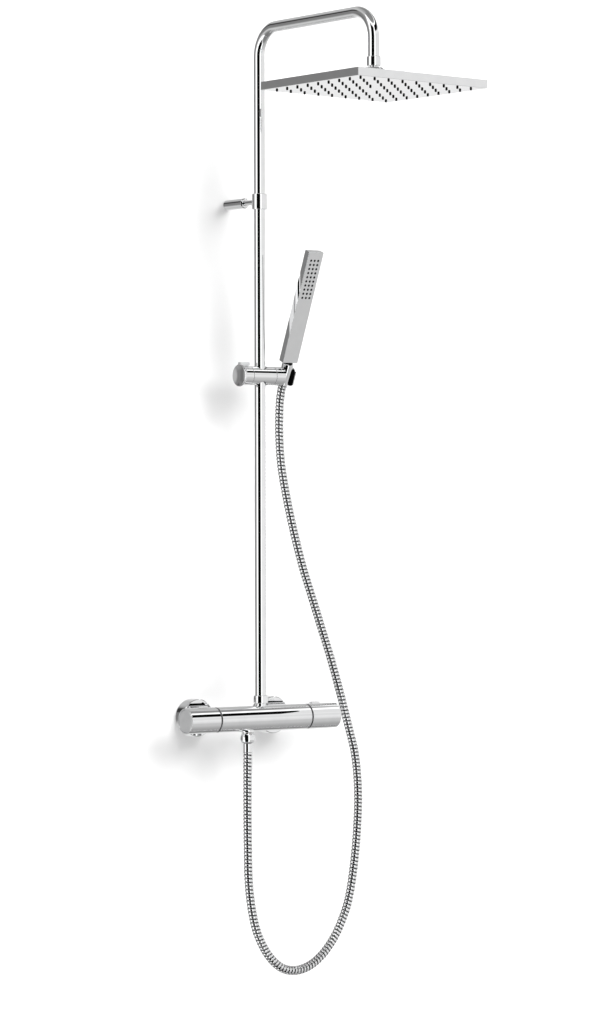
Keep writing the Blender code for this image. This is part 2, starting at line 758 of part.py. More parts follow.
def hand_shower(hand):
    """The hand shower and its hose nut, measured from the socket along the shower's axis."""
    x = HANDSET_WIDTH / 2
    y = HANDSET_THICK / 2
    top = HANDSET_FOOT + HANDSET_LENGTH
    body = box("handset_body", (-x, -y, HANDSET_FOOT), (x, y, top), "chrome", hand)
    stub = rod("handset_stub", 0.0058, 0.0175, HANDSET_FOOT + 0.0010, None, hand, (0, 0, 0), "+Z", 14)
    seat = rod("handset_seat", 0.0076, 0.0231, HANDSET_FOOT + 0.0010, None, hand, (0, 0, 0), "+Z", 20)
    join(body, stub, seat)
    low = HANDSET_FOOT + 0.0200
    room = box("handset_room", (-x + 0.0022, -0.0040, low), (x - 0.0022, 0.0040, top - 0.0025), None, hand)
    water = rod("handset_water", 0.0032, 0.0100, low + 0.0020, None, hand, (0, 0, 0), "+Z", 12)
    # The prisms run along their own Z, so this group lays them along the shower's Y.
    facing = (90, 0, 0)
    grid = spray_grid()
    holes = prisms("spray_holes", grid, 0.00200, 0.0030, 0.0080, hand, (0, 0, 0), facing)
    cut(body, room, water, holes)

    xs = SPRAY_PITCH + 0.0028
    low = grid[-1][1] - 0.0028
    high = grid[0][1] + 0.0028
    strip = box("handset_nozzles", (-xs, -0.0037, low), (xs, -0.0025, high), "rubber", hand)
    nubs = prisms("spray_nubs", grid, 0.00160, 0.0030, y + 0.0003, hand, (0, 0, 0), facing)
    join(strip, nubs)

    profile = [
        (0.0090, 0.0228),
        (0.0098, 0.0219),
        (0.0098, 0.0200),
        (0.0096, 0.0160),
        (0.0081, -0.0140),
        (0.0074, -0.0150),
        (0.0040, -0.0150),
        (0.0040, 0.0160),
        (0.0061, 0.0160),
        (0.0061, 0.0228),
    ]
    turned("cone_nut", profile, "chrome", hand, (0, 0, 0), "+Z", 20, ring=True)


# ---------------------------------------------------------------- assembly
def build():
    root = group("column")
    mixer_body(root)
    for side, word in ((-1, "left"), (1, "right")):
        inlet(side, word, root)
        handle(side, word, root)
    cartridge("diverter_cartridge", "-X", root)
    cartridge("thermostat_cartridge", "+X", root)
    riser(root)
    wall_post(root)
    outlet(root)

    ball_joint(root)
    roll = group("head_roll_axis", (0, ARM_Y, BALL_Z), root)
    ball_seat(roll)
    head = group("head_pitch_axis", (0, 0, 0), roll, (0, HEAD_TILT, 0))
    rain_head(head)

    slide = group("slider_axis", (0, BAR_Y, HOLDER_Z), root)
    slider(slide)
    turn = group("holder_turn_axis", (0, 0, 0), slide)
    holder(turn)
    knob = group("knob_axis", (0, 0, 0), turn)
    lock_knob(knob)
    tilt = group("socket_axis", (0, 0, 0), turn)
    socket(tilt)
    hand = group("handset_axis", (SOCKET_X, 0, 0), tilt, (HANDSET_LEAN, 0, 0))
    hand_shower(hand)
    hose((root, root, slide, turn, hand))


build()
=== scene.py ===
import json
import math

import bmesh
import bpy
import numpy as np
from mathutils import Matrix, Vector


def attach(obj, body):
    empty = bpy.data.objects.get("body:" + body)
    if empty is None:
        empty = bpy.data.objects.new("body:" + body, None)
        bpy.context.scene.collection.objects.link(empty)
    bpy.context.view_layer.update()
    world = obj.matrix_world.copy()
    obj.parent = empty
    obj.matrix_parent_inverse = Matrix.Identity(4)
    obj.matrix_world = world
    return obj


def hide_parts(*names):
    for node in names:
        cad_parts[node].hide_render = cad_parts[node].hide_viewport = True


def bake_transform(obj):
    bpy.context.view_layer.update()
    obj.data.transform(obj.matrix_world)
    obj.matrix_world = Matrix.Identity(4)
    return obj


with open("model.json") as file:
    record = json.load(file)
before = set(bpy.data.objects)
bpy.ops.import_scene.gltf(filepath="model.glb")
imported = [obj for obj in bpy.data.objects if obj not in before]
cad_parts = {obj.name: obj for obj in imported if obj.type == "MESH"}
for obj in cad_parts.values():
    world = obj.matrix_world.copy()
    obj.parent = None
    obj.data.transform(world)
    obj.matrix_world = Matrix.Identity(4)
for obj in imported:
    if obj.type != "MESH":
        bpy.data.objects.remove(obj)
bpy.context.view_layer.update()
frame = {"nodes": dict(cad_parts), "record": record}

NODES = frame["nodes"]

# ---------------------------------------------------------------- sizes, in metres
GAP = 0.0003
BAR_Y = -0.0890
BAR_R = 0.0205
SEAM_X = 0.0900
SEAM_HALF = 0.0014
BAR_END_X = 0.1477
INLET_X = 0.0750
FLANGE_R = 0.0300
FLANGE_DEPTH = 0.0220
STUB_Y = -0.0577
OUTLET_X = -0.0258
BUTTON_X = 0.1115
BUTTON_SIZE = (0.0170, 0.0068)
BUTTON_LEAN = 12.0
RISER_R = 0.0090
RISER_FOOT_Z = 0.0290
POST_Z = 0.8310
ARM_Z = 1.1085
ARM_Y = -0.3912
BEND_R = 0.0450
BALL_Z = 1.0090
HEAD_SIDE = 0.2500
HEAD_THICK = 0.0130
HEAD_TOP = -0.0115
HEAD_TILT = 0.9
NOZZLE_ROWS = 9
NOZZLE_PITCH = 0.0267
HOLDER_Z = 0.5508
BARREL_R = 0.0152
SOCKET_X = 0.0496
HANDSET_LEAN = 22.4
HANDSET_FOOT = 0.0252
HANDSET_LENGTH = 0.1890
HANDSET_WIDTH = 0.0292
HANDSET_THICK = 0.0120
SPRAY_PITCH = 0.0070
SPRAY_TOP = 0.0143
HOSE_R = 0.0075
HOSE_RIB = 0.0060          # pitch of the hose's spiral ribs

# Directions, and how many sides a turned piece has.
ACROSS = (1, 0, 0)
OUT = (0, -1, 0)
UP = (0, 0, 1)
FINE = 128
ROUND = 96
SMALL = 64

# The hose's centreline from the outlet to the hand shower.
HOSE_ROUTE = [
    (-0.0258, -0.0890, -0.0540),
    (-0.0264, -0.0891, -0.1300),
    (-0.0262, -0.0895, -0.2001),
    (-0.0246, -0.0900, -0.2652),
    (-0.0178, -0.0903, -0.3136),
    (-0.0070, -0.0905, -0.3490),
    (0.0141, -0.0905, -0.3835),
    (0.0405, -0.0900, -0.4050),
    (0.0693, -0.0893, -0.4109),
    (0.0982, -0.0885, -0.4047),
    (0.1247, -0.0875, -0.3882),
    (0.1487, -0.0862, -0.3631),
    (0.1662, -0.0850, -0.3354),
    (0.1793, -0.0838, -0.3066),
    (0.1915, -0.0822, -0.2567),
    (0.2021, -0.0800, -0.1796),
    (0.2045, -0.0784, -0.1193),
    (0.1991, -0.0770, -0.0640),
    (0.1862, -0.0758, -0.0166),
    (0.1675, -0.0744, 0.0470),
    (0.1497, -0.0736, 0.1006),
    (0.1313, -0.0730, 0.1503),
    (0.1128, -0.0726, 0.2000),
    (0.0961, -0.0724, 0.2454),
    (0.0753, -0.0722, 0.3149),
    (0.0586, -0.0722, 0.3851),
    (0.0529, -0.0724, 0.4201),
    (0.0502, -0.0728, 0.4600),
    (0.0496, -0.0739, 0.4880),
    (0.0496, -0.0760, 0.5120),
    (0.0496, -0.0798, 0.5285),
    (0.0496, -0.0829, 0.5360),
]
HOSE_LOW_X = 0.0693        # the lowest point of its loop, where its first run ends
HOSE_CUTS_Z = (0.2600, 0.3520, 0.4440)

# ---------------------------------------------------------------- camera
CAMERA_AT = (-3.5439, -4.9969, 0.3380)
CAMERA_YAW = 36.56         # degrees from +Y towards +X
CAMERA_ROLL = -0.134
LENS = 133.28


def make_camera():
    data = bpy.data.cameras.new("camera")
    data.lens = LENS
    data.sensor_width = 36.0
    data.clip_start = 0.1
    data.clip_end = 60.0
    camera = bpy.data.objects.new("camera", data)
    bpy.context.scene.collection.objects.link(camera)
    yaw = math.radians(CAMERA_YAW)
    roll = math.radians(CAMERA_ROLL)
    forward = Vector((math.sin(yaw), math.cos(yaw), 0.0))
    level = Vector((math.cos(yaw), -math.sin(yaw), 0.0))
    up = level.cross(forward)
    right = level * math.cos(roll) + up * math.sin(roll)
    above = up * math.cos(roll) - level * math.sin(roll)
    turn = Matrix((right, above, -forward)).transposed()
    camera.matrix_world = Matrix.Translation(CAMERA_AT) @ turn.to_4x4()
    bpy.context.scene.camera = camera


make_camera()


# ---------------------------------------------------------------- materials
METAL_GRAIN = 900.0
PLASTIC_GRAIN = 1800.0
GRAIN_DEPTH = 0.0002


def new_material(name):
    made = bpy.data.materials.new(name)
    made.use_nodes = True
    return made, made.node_tree, made.node_tree.nodes["Principled BSDF"]


def feed(tree, node, inputs):
    """Set a node's inputs to plain values, or link them to other nodes' outputs."""
    for key, value in inputs.items():
        if isinstance(value, bpy.types.NodeSocket):
            tree.links.new(value, node.inputs[key])
        else:
            node.inputs[key].default_value = value


def add_node(tree, kind, inputs=None, **settings):
    node = tree.nodes.new(kind)
    for key, value in settings.items():
        setattr(node, key, value)
    feed(tree, node, inputs or {})
    return node


def noise(tree, scale, detail, roughness=0.5):
    """A noise texture in the object's own coordinates."""
    place = add_node(tree, "ShaderNodeTexCoord")
    made = add_node(tree, "ShaderNodeTexNoise", {
        "Vector": place.outputs["Object"], "Scale": scale, "Detail": detail, "Roughness": roughness,
    })
    return made.outputs["Fac"]


def vary(tree, source, low, high, start=0.3, end=0.7):
    """Map a texture's value onto a range."""
    made = add_node(tree, "ShaderNodeMapRange", {
        "Value": source, "From Min": start, "From Max": end, "To Min": low, "To Max": high,
    })
    return made.outputs["Result"]


def tint(tree, source, dark, light, start=0.3, end=0.7):
    """Map a texture's value onto a range of colour."""
    made = add_node(tree, "ShaderNodeValToRGB", {"Fac": source})
    first, last = made.color_ramp.elements
    first.position = start
    first.color = (*dark, 1.0)
    last.position = end
    last.color = (*light, 1.0)
    return made.outputs["Color"]


def bump(tree, height, strength, distance):
    made = add_node(tree, "ShaderNodeBump", {
        "Height": height, "Strength": strength, "Distance": distance,
    })
    return made.outputs["Normal"]


def metal(name, dark, light, rough, scale=60.0, grain=0.0):
    """A metal whose tone and polish vary slightly, with a fine grain where grain is above zero."""
    made, tree, shader = new_material(name)
    feed(tree, shader, {
        "Metallic": 1.0,
        "Base Color": tint(tree, noise(tree, scale, 4.0), dark, light),
        "Roughness": vary(tree, noise(tree, scale * 3.1, 5.0, 0.6), *rough),
    })
    if grain:
        fine = noise(tree, METAL_GRAIN, 2.0)
        feed(tree, shader, {"Normal": bump(tree, fine, grain, GRAIN_DEPTH)})
    return made


def plastic(name, dark, light, rough, scale=40.0, grain=0.08, gloss=0.5):
    """Moulded plastic or rubber with a fine texture."""
    made, tree, shader = new_material(name)
    fine = noise(tree, PLASTIC_GRAIN, 3.0, 0.6)
    feed(tree, shader, {
        "Specular IOR Level": gloss,
        "Base Color": tint(tree, noise(tree, scale, 4.0), dark, light),
        "Roughness": vary(tree, fine, *rough),
        "Normal": bump(tree, fine, grain, GRAIN_DEPTH),
    })
    return made


def spun_chrome(name):
    """Chrome on a turned end face, with the faint rings that the lathe leaves under the plating."""
    made, tree, shader = new_material(name)
    place = add_node(tree, "ShaderNodeTexCoord")
    shift = add_node(tree, "ShaderNodeMapping", {
        "Vector": place.outputs["Object"], "Location": (0.0, -BAR_Y, 0.0),
    })
    wave = {"Vector": shift.outputs["Vector"], "Scale": 160.0, "Distortion": 0.4, "Detail": 1.0}
    rings = add_node(tree, "ShaderNodeTexWave", wave, wave_type="RINGS", rings_direction="X")
    cloud = noise(tree, 90.0, 4.0)
    feed(tree, shader, {
        "Metallic": 1.0,
        "Base Color": tint(tree, cloud, (0.84, 0.845, 0.855), (0.90, 0.905, 0.91)),
        "Roughness": vary(tree, rings.outputs["Fac"], 0.10, 0.16, 0.0, 1.0),
        "Normal": bump(tree, rings.outputs["Fac"], 0.10, 0.0001),
    })
    return made


MATERIALS = {
    "chrome": metal("polished_chrome", (0.93, 0.934, 0.94), (0.965, 0.967, 0.97), (0.004, 0.016)),
    "satin_chrome": metal("satin_chrome", (0.80, 0.805, 0.815), (0.87, 0.875, 0.88), (0.16, 0.24),
                          120.0, 0.04),
    "spun_chrome": spun_chrome("spun_chrome"),
    "hose_metal": metal("hose_metal", (0.90, 0.905, 0.91), (0.96, 0.962, 0.966), (0.015, 0.05), 200.0),
    # Near-black, for the faces in the hose's grooves: painted shade.
    "hose_gap": metal("hose_gap", (0.008, 0.008, 0.009), (0.02, 0.02, 0.022), (0.4, 0.55), 300.0, 0.1),
    "brass": metal("machined_brass", (0.62, 0.45, 0.21), (0.78, 0.60, 0.33), (0.22, 0.36), 110.0, 0.12),
    "steel": metal("stainless_steel", (0.55, 0.55, 0.57), (0.68, 0.68, 0.70), (0.22, 0.34), 140.0, 0.08),
    "dark_plastic": plastic("dark_plastic", (0.020, 0.020, 0.022), (0.036, 0.036, 0.039), (0.42, 0.56)),
    "white_plastic": plastic("white_plastic", (0.70, 0.70, 0.68), (0.80, 0.80, 0.785), (0.36, 0.50)),
    "grey_plastic": plastic("grey_plastic", (0.38, 0.385, 0.39), (0.44, 0.445, 0.45), (0.30, 0.42)),
    "rubber": plastic("nozzle_rubber", (0.003, 0.003, 0.0034), (0.008, 0.008, 0.0085), (0.60, 0.75),
                      60.0, 0.15, 0.12),
}


# ---------------------------------------------------------------- ways to make a piece
SMOOTH_TURN = math.radians(12)      # a profile's corner that turns less is left as it is


def fillet_profile(profile, radius, ring, count=4):
    """Round the corners of a (radius, height) profile.  Returns points and, for each
    segment, the outward normals at its two ends.  A third number sets a corner's own rounding."""
    points = [Vector(p[:2]) for p in profile]
    radii = [p[2] if len(p) > 2 else radius for p in profile]
    total = len(points)
    corners = []
    for i in range(total):
        if not ring and i in (0, total - 1):
            corners.append([(points[i], None)])
            continue
        before = points[i] - points[i - 1]
        after = points[(i + 1) % total] - points[i]
        a = before.normalized()
        b = after.normalized()
        turn = math.atan2(a.x * b.y - a.y * b.x, a.dot(b))
        if abs(turn) < SMOOTH_TURN or radii[i] <= 0:
            corners.append([(points[i], None)])
            continue
        reach = radii[i] * math.tan(abs(turn) / 2)
        limit = 0.42 * min(before.length, after.length)
        size = radii[i] * min(1.0, limit / reach)
        reach = size * math.tan(abs(turn) / 2)
        start = points[i] - a * reach
        first = Vector((-a.y, a.x))
        side = 1.0 if turn < 0 else -1.0
        centre = start - first * size * side
        found = []
        for k in range(count + 1):
            angle = turn * k / count
            cos = math.cos(angle)
            sin = math.sin(angle)
            normal = Vector((first.x * cos - first.y * sin, first.x * sin + first.y * cos))
            found.append((centre + normal * size * side, normal))
        corners.append(found)
    flat = [pair for corner in corners for pair in corner]
    starts = []
    for corner in corners:
        starts += [True] * (len(corner) - 1) + [False]
    segments = []
    for i in range(len(flat) if ring else len(flat) - 1):
        j = (i + 1) % len(flat)
        if starts[i]:
            segments.append((i, j, flat[i][1], flat[j][1]))
        else:
            along = (flat[j][0] - flat[i][0]).normalized()
            normal = Vector((-along.y, along.x))
            segments.append((i, j, normal, normal))
    return [pair[0] for pair in flat], segments


def soften(segments, limit):
    """Share normals between neighbouring segments that meet at less than the limit, in degrees."""
    done = [list(s) for s in segments]
    for a, b in zip(done, done[1:]):
        if a[1] == b[0] and a[3].angle(b[2]) < math.radians(limit):
            shared = (a[3] + b[2]).normalized()
            a[3] = shared
            b[2] = shared
    return done


def rod(radius, top, bottom):
    """The profile of a plain round bar."""
    return [(0, top), (radius, top), (radius, bottom), (0, bottom)]


class Shape:
    """Closed surfaces gathered into one mesh, with the exact normal at every corner."""

    def __init__(self):
        self.verts = []
        self.faces = []
        self.normals = []
        self.marks = []

    def add(self, verts, faces, normals, mark=0):
        first = len(self.verts)
        self.verts += [Vector(v) for v in verts]
        self.faces += [tuple(first + i for i in face) for face in faces]
        self.normals += normals
        self.marks += [mark] * len(faces)
        return self

    def lathe(self, profile, at, axis, steps, fillet=0.0004, ring=False, mark=0, smooth=0):
        """Spin a profile, listed from its top down, about an axis.  Segments that meet at less
        than smooth, in degrees, share their normals."""
        points, segments = fillet_profile(profile, fillet, ring)
        if smooth:
            segments = soften(segments, smooth)
        turn = Vector(UP).rotation_difference(Vector(axis)).to_matrix()
        at = Vector(at)
        angles = [math.tau * k / steps for k in range(steps)]
        index = []
        verts = []
        for point in points:
            if point.x < 1e-7:
                index.append([len(verts)] * steps)
                verts.append(at + turn @ Vector((0, 0, point.y)))
                continue
            index.append(list(range(len(verts), len(verts) + steps)))
            for a in angles:
                verts.append(at + turn @ Vector((point.x * math.cos(a), point.x * math.sin(a), point.y)))
        faces = []
        normals = []

        def spun(normal, k):
            a = angles[k % steps]
            return turn @ Vector((normal.x * math.cos(a), normal.x * math.sin(a), normal.y))

        for i, j, one, two in segments:
            for k in range(steps):
                m = (k + 1) % steps
                corner = [(index[i][k], spun(one, k)), (index[j][k], spun(two, k)),
                          (index[j][m], spun(two, k + 1)), (index[i][m], spun(one, k + 1))]
                if points[i].x < 1e-7:
                    corner = corner[:3]
                elif points[j].x < 1e-7:
                    corner = [corner[0], corner[1], corner[3]]
                faces.append(tuple(c[0] for c in corner))
                normals.append([c[1] for c in corner])
        return self.add(verts, faces, normals, mark)

    def block(self, low, high, radius, place=Matrix.Identity(4), segments=3, mark=0):
        """A block between two corners with rounded edges."""
        shape = bmesh.new()
        bmesh.ops.create_cube(shape, size=1.0)
        size = Vector(high) - Vector(low)
        middle = (Vector(high) + Vector(low)) / 2
        bmesh.ops.transform(
            shape,
            matrix=Matrix.Translation(middle) @ Matrix.Diagonal((*size, 1.0)),
            verts=shape.verts,
        )
        bmesh.ops.bevel(shape, geom=shape.edges[:], offset=radius, segments=segments, profile=0.5,
                        affect="EDGES", clamp_overlap=True)
        turn = place.to_3x3()
        inner_low = [a + radius for a in low]
        inner_high = [b - radius for b in high]

        def normal_at(p):
            held = Vector([min(max(p[i], inner_low[i]), inner_high[i]) for i in range(3)])
            out = p - held
            return (turn @ out).normalized()

        shape.verts.index_update()
        verts = [place @ v.co for v in shape.verts]
        faces = [tuple(v.index for v in f.verts) for f in shape.faces]
        normals = [[normal_at(v.co) for v in f.verts] for f in shape.faces]
        shape.free()
        return self.add(verts, faces, normals, mark)

    def sweep(self, points, radius, sides):
        """A round bar with flat ends along a list of points."""
        frames = frames_along(points)
        verts = []
        outward = []
        for p, (across, over, _) in zip(points, frames):
            for k in range(sides):
                a = math.tau * k / sides
                normal = across * math.cos(a) + over * math.sin(a)
                verts.append(Vector(p) + normal * radius)
                outward.append(normal)
        faces = []
        normals = []
        for i in range(len(points) - 1):
            for k in range(sides):
                m = (k + 1) % sides
                face = (i * sides + k, i * sides + m, (i + 1) * sides + m, (i + 1) * sides + k)
                faces.append(face)
                normals.append([outward[v] for v in face])
        last = (len(points) - 1) * sides
        faces.append(tuple(reversed(range(sides))))
        normals.append([-frames[0][2]] * sides)
        faces.append(tuple(range(last, last + sides)))
        normals.append([frames[-1][2]] * sides)
        return self.add(verts, faces, normals)

    def mesh(self, name):
        made = bpy.data.meshes.new(name)
        made.from_pydata(self.verts, [], self.faces)
        made.polygons.foreach_set("use_smooth", [True] * len(self.faces))
        flat = [c for face in self.normals for n in face for c in n]
        keep = made.attributes.new("true_normal", "FLOAT_VECTOR", "CORNER")
        keep.data.foreach_set("vector", flat)
        made.polygons.foreach_set("material_index", self.marks)
        return made


def frames_along(points):
    """(across, over, along) at each point, turning as little as the line lets it."""
    points = [Vector(p) for p in points]
    tangents = []
    for i in range(len(points)):
        a = points[max(0, i - 1)]
        b = points[min(len(points) - 1, i + 1)]
        tangents.append((b - a).normalized())
    start = Vector((0, 0, 1)) if abs(tangents[0].z) < 0.9 else Vector((1, 0, 0))
    across = (start - tangents[0] * start.dot(tangents[0])).normalized()
    found = []
    for tangent in tangents:
        across = (across - tangent * across.dot(tangent)).normalized()
        found.append((across, tangent.cross(across), tangent))
    return found


def link(name, mesh):
    made = bpy.data.objects.new(name, mesh)
    bpy.context.scene.collection.objects.link(made)
    return made


def set_normals(mesh):
    """Take each corner's normal from the kept one, and drop what the cutting left behind."""
    kept = np.zeros(len(mesh.loops) * 3, np.float32)
    mesh.attributes["true_normal"].data.foreach_get("vector", kept)
    kept = kept.reshape(-1, 3)
    sizes = np.zeros(len(mesh.polygons), np.int32)
    mesh.polygons.foreach_get("loop_total", sizes)
    flat = np.zeros(len(mesh.polygons) * 3, np.float32)
    mesh.polygons.foreach_get("normal", flat)
    face = np.repeat(flat.reshape(-1, 3), sizes, axis=0)
    length = np.linalg.norm(kept, axis=1)
    kept = kept / np.maximum(length, 1e-9)[:, None]
    along = (kept * face).sum(1)
    kept[along < 0] *= -1
    wrong = (length < 0.5) | (np.abs(along) < 0.5)
    kept[wrong] = face[wrong]
    mesh.normals_split_custom_set(kept.tolist())
    mesh.attributes.remove(mesh.attributes["true_normal"])
    mesh.update()


def carve(mesh, *cutters):
    """The mesh with these shapes taken out of it."""
    piece = link("carved", mesh)
    tools = []
    for i, cutter in enumerate(cutters):
        tool = link(f"tool_{i}", cutter.mesh(f"tool_{i}"))
        step = piece.modifiers.new(tool.name, "BOOLEAN")
        step.operation = "DIFFERENCE"
        step.solver = "EXACT"
        step.object = tool
        tools.append(tool)
    shown = piece.evaluated_get(bpy.context.evaluated_depsgraph_get())
    made = bpy.data.meshes.new_from_object(shown)
    bpy.data.objects.remove(piece)
    for tool in tools:
        bpy.data.objects.remove(tool)
    return made


def finish_piece(name, shape, finishes, body, node=None, cutters=()):
    """Turn a shape into a piece that rides on a body and stands for a node.  Faces left by a
    cutter that is marked take the second finish."""
    mesh = shape.mesh(name)
    for word in finishes.split():
        mesh.materials.append(MATERIALS[word])
    if cutters:
        mesh = carve(mesh, *cutters)
        mesh.name = name
    set_normals(mesh)
    made = link(name, mesh)
    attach(made, body)
    if node:
        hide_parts(node)


# ---------------------------------------------------------------- the hose
def smooth_route(route, steps=24):
    """Many points on a smooth curve through the route's points."""
    knots = [Vector(p) for p in route]
    knots = [knots[0] * 2 - knots[1]] + knots + [knots[-1] * 2 - knots[-2]]
    found = []
    for before, start, end, after in zip(knots, knots[1:], knots[2:], knots[3:]):
        times = [0.0]
        for a, b in ((before, start), (start, end), (end, after)):
            times.append(times[-1] + math.sqrt((b - a).length))
        t0, t1, t2, t3 = times
        for i in range(steps):
            t = t1 + (t2 - t1) * i / steps
            a1 = before * ((t1 - t) / (t1 - t0)) + start * ((t - t0) / (t1 - t0))
            a2 = start * ((t2 - t) / (t2 - t1)) + end * ((t - t1) / (t2 - t1))
            a3 = end * ((t3 - t) / (t3 - t2)) + after * ((t - t2) / (t3 - t2))
            b1 = a1 * ((t2 - t) / (t2 - t0)) + a2 * ((t - t0) / (t2 - t0))
            b2 = a2 * ((t3 - t) / (t3 - t1)) + a3 * ((t - t1) / (t3 - t1))
            found.append(b1 * ((t2 - t) / (t2 - t1)) + b2 * ((t - t1) / (t2 - t1)))
    found.append(knots[-2])
    return found


def lengths_along(points):
    found = [0.0]
    for a, b in zip(points, points[1:]):
        found.append(found[-1] + (b - a).length)
    return found


def hose_cuts(points, lengths):
    """Distances along the hose where its tube is divided."""
    low = next(i for i, p in enumerate(points) if p.x > HOSE_LOW_X)
    found = [0.0, lengths[low]]
    for height in HOSE_CUTS_Z:
        i = next(i for i, p in enumerate(points) if i > low and p.z > height)
        found.append(lengths[i])
    return found + [lengths[-1]]


# Depth of the wall below the hose's outside, along one turn of its ribs.
RIB_PROFILE = [
    (0.00, 0.00150), (0.11, 0.00145), (0.15, 0.00070), (0.20, 0.00022), (0.27, 0.00004),
    (0.35, 0.00000), (0.65, 0.00000), (0.73, 0.00004), (0.80, 0.00022), (0.85, 0.00070),
    (0.89, 0.00145), (1.00, 0.00150),
]
GAP_SHARE = 0.13


def rib_depth(turns):
    share = turns - math.floor(turns)
    for (a, low), (b, high) in zip(RIB_PROFILE, RIB_PROFILE[1:]):
        if share <= b:
            return low + (high - low) * (share - a) / (b - a)
    return RIB_PROFILE[-1][1]


def resample(at, known, values):
    """Values known at some distances, read at others."""
    return np.stack([np.interp(at, known, values[:, i]) for i in range(3)], 1)


def hose_mesh(name, points, lengths, start, end, sides=24, step=0.00037):
    """One run of the ribbed hose.  Its ribs wind round it, and the faces in the grooves between them
    take a near-black colour, painted shade.
    """
    count = max(8, round((end - start) / step))
    distances = np.linspace(start, end, count + 1)
    xyz = np.array([tuple(p) for p in points])
    centre = resample(distances, lengths, xyz)
    every = np.linspace(0, lengths[-1], 700)
    frames = frames_along([tuple(p) for p in resample(every, lengths, xyz)])
    across = resample(distances, every, np.array([tuple(f[0]) for f in frames]))
    along = resample(distances, every, np.array([tuple(f[2]) for f in frames]))
    along /= np.linalg.norm(along, axis=1)[:, None]
    across -= along * (across * along).sum(1)[:, None]
    across /= np.linalg.norm(across, axis=1)[:, None]
    over = np.cross(along, across)
    verts = []
    for i, distance in enumerate(distances):
        for k in range(sides):
            a = math.tau * k / sides
            radius = HOSE_R - rib_depth(distance / HOSE_RIB + k / sides)
            spot = centre[i] + (across[i] * math.cos(a) + over[i] * math.sin(a)) * radius
            verts.append(tuple(spot))
    faces = []
    marks = []
    for i in range(count):
        middle = (distances[i] + distances[i + 1]) / 2
        for k in range(sides):
            m = (k + 1) % sides
            faces.append((i * sides + k, i * sides + m, (i + 1) * sides + m, (i + 1) * sides + k))
            # A face in the groove between two ribs takes the near-black colour that paints the shade
            # there.
            share = (middle / HOSE_RIB + (k + 0.5) / sides) % 1.0
            marks.append(1 if share < GAP_SHARE or share > 1 - GAP_SHARE else 0)
    faces.append(tuple(reversed(range(sides))))
    faces.append(tuple(range(count * sides, count * sides + sides)))
    marks += [1, 1]
    mesh = bpy.data.meshes.new(name)
    mesh.from_pydata(verts, [], faces)
    mesh.polygons.foreach_set("use_smooth", [True] * (len(faces) - 2) + [False] * 2)
    mesh.polygons.foreach_set("material_index", marks)
    mesh.materials.append(MATERIALS["hose_metal"])
    mesh.materials.append(MATERIALS["hose_gap"])
    mesh.update()
    return mesh, centre


def make_hose():
    points = smooth_route(HOSE_ROUTE)
    lengths = lengths_along(points)
    cuts = hose_cuts(points, lengths)
    plan = [
        ("hose_lower", None),
        ("hose_rise", ("root", "slider")),
        ("hose_bend", ("slider", "holder")),
        ("hose_tilt", ("holder", "socket")),
        ("hose_top", ("socket", "hand_shower")),
    ]
    for (node, bodies), start, end in zip(plan, cuts, cuts[1:]):
        mesh, centre = hose_mesh(node + "_ribbed", points, lengths, start, end)
        piece = link(node + "_ribbed", mesh)
        if bodies:
            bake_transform(piece)
        else:
            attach(piece, "root")
        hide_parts(node)


make_hose()


# ---------------------------------------------------------------- the mixer
def bar_point(x):
    """A point on the mixer's axis."""
    return (x, BAR_Y, 0.0)


def make_mixer():
    end = SEAM_X - SEAM_HALF
    bar = Shape().lathe(rod(BAR_R, end, -end), bar_point(0), ACROSS, FINE)
    for side in (-1, 1):
        bar.lathe(rod(0.0135, STUB_Y - BAR_Y, 0.010), bar_point(side * INLET_X), (0, 1, 0), SMALL)
    bar.lathe(rod(0.0085, 0.0270, 0.010), bar_point(0), UP, SMALL)
    boss = [
        (0, -0.010), (0.0100, -0.010), (0.0112, -0.0190), (0.0112, -0.0210), (0.0104, -0.0225),
        (0, -0.0225),
    ]
    bar.lathe(boss, bar_point(OUTLET_X), UP, SMALL, 0.0008)
    finish_piece("mixer_bar", bar, "chrome", "root", "mixer_body")

    for side, word in ((-1, "left"), (1, "right")):
        make_inlet(side, word)
        make_handle(side, word)


def make_inlet(side, word):
    """The flange on the wall and the nut that couples its union to the bar."""
    at = (side * INLET_X, 0, 0)
    shoulder = FLANGE_DEPTH - 0.0005
    lip = FLANGE_DEPTH - 0.0002
    inside = FLANGE_DEPTH - 0.0025
    profile = [
        (FLANGE_R - 0.0022, shoulder), (FLANGE_R - 0.0008, shoulder, 0.0010),
        (FLANGE_R, FLANGE_DEPTH - 0.0014, 0.0006), (FLANGE_R, 0.0), (FLANGE_R - 0.0020, 0.0),
        (FLANGE_R - 0.0020, inside), (0.0106, inside), (0.0106, lip), (0.0122, lip),
        (0.0130, shoulder),
    ]
    flange = Shape().lathe(profile, at, OUT, FINE, 0.0003, ring=True)
    finish_piece(f"{word}_flange", flange, "chrome", "root", f"{word}_wall_flange")

    profile = [
        (0.0172, 0.0668), (0.0172, 0.0490), (0.0160, 0.0480), (0.0106, 0.0480),
        (0.0106, 0.0520), (0.0139, 0.0520), (0.0139, 0.0668),
    ]
    nut = Shape().lathe(profile, at, OUT, ROUND, 0.0005, ring=True)
    finish_piece(f"{word}_coupling_nut", nut, "chrome", "root", f"{word}_union_nut")


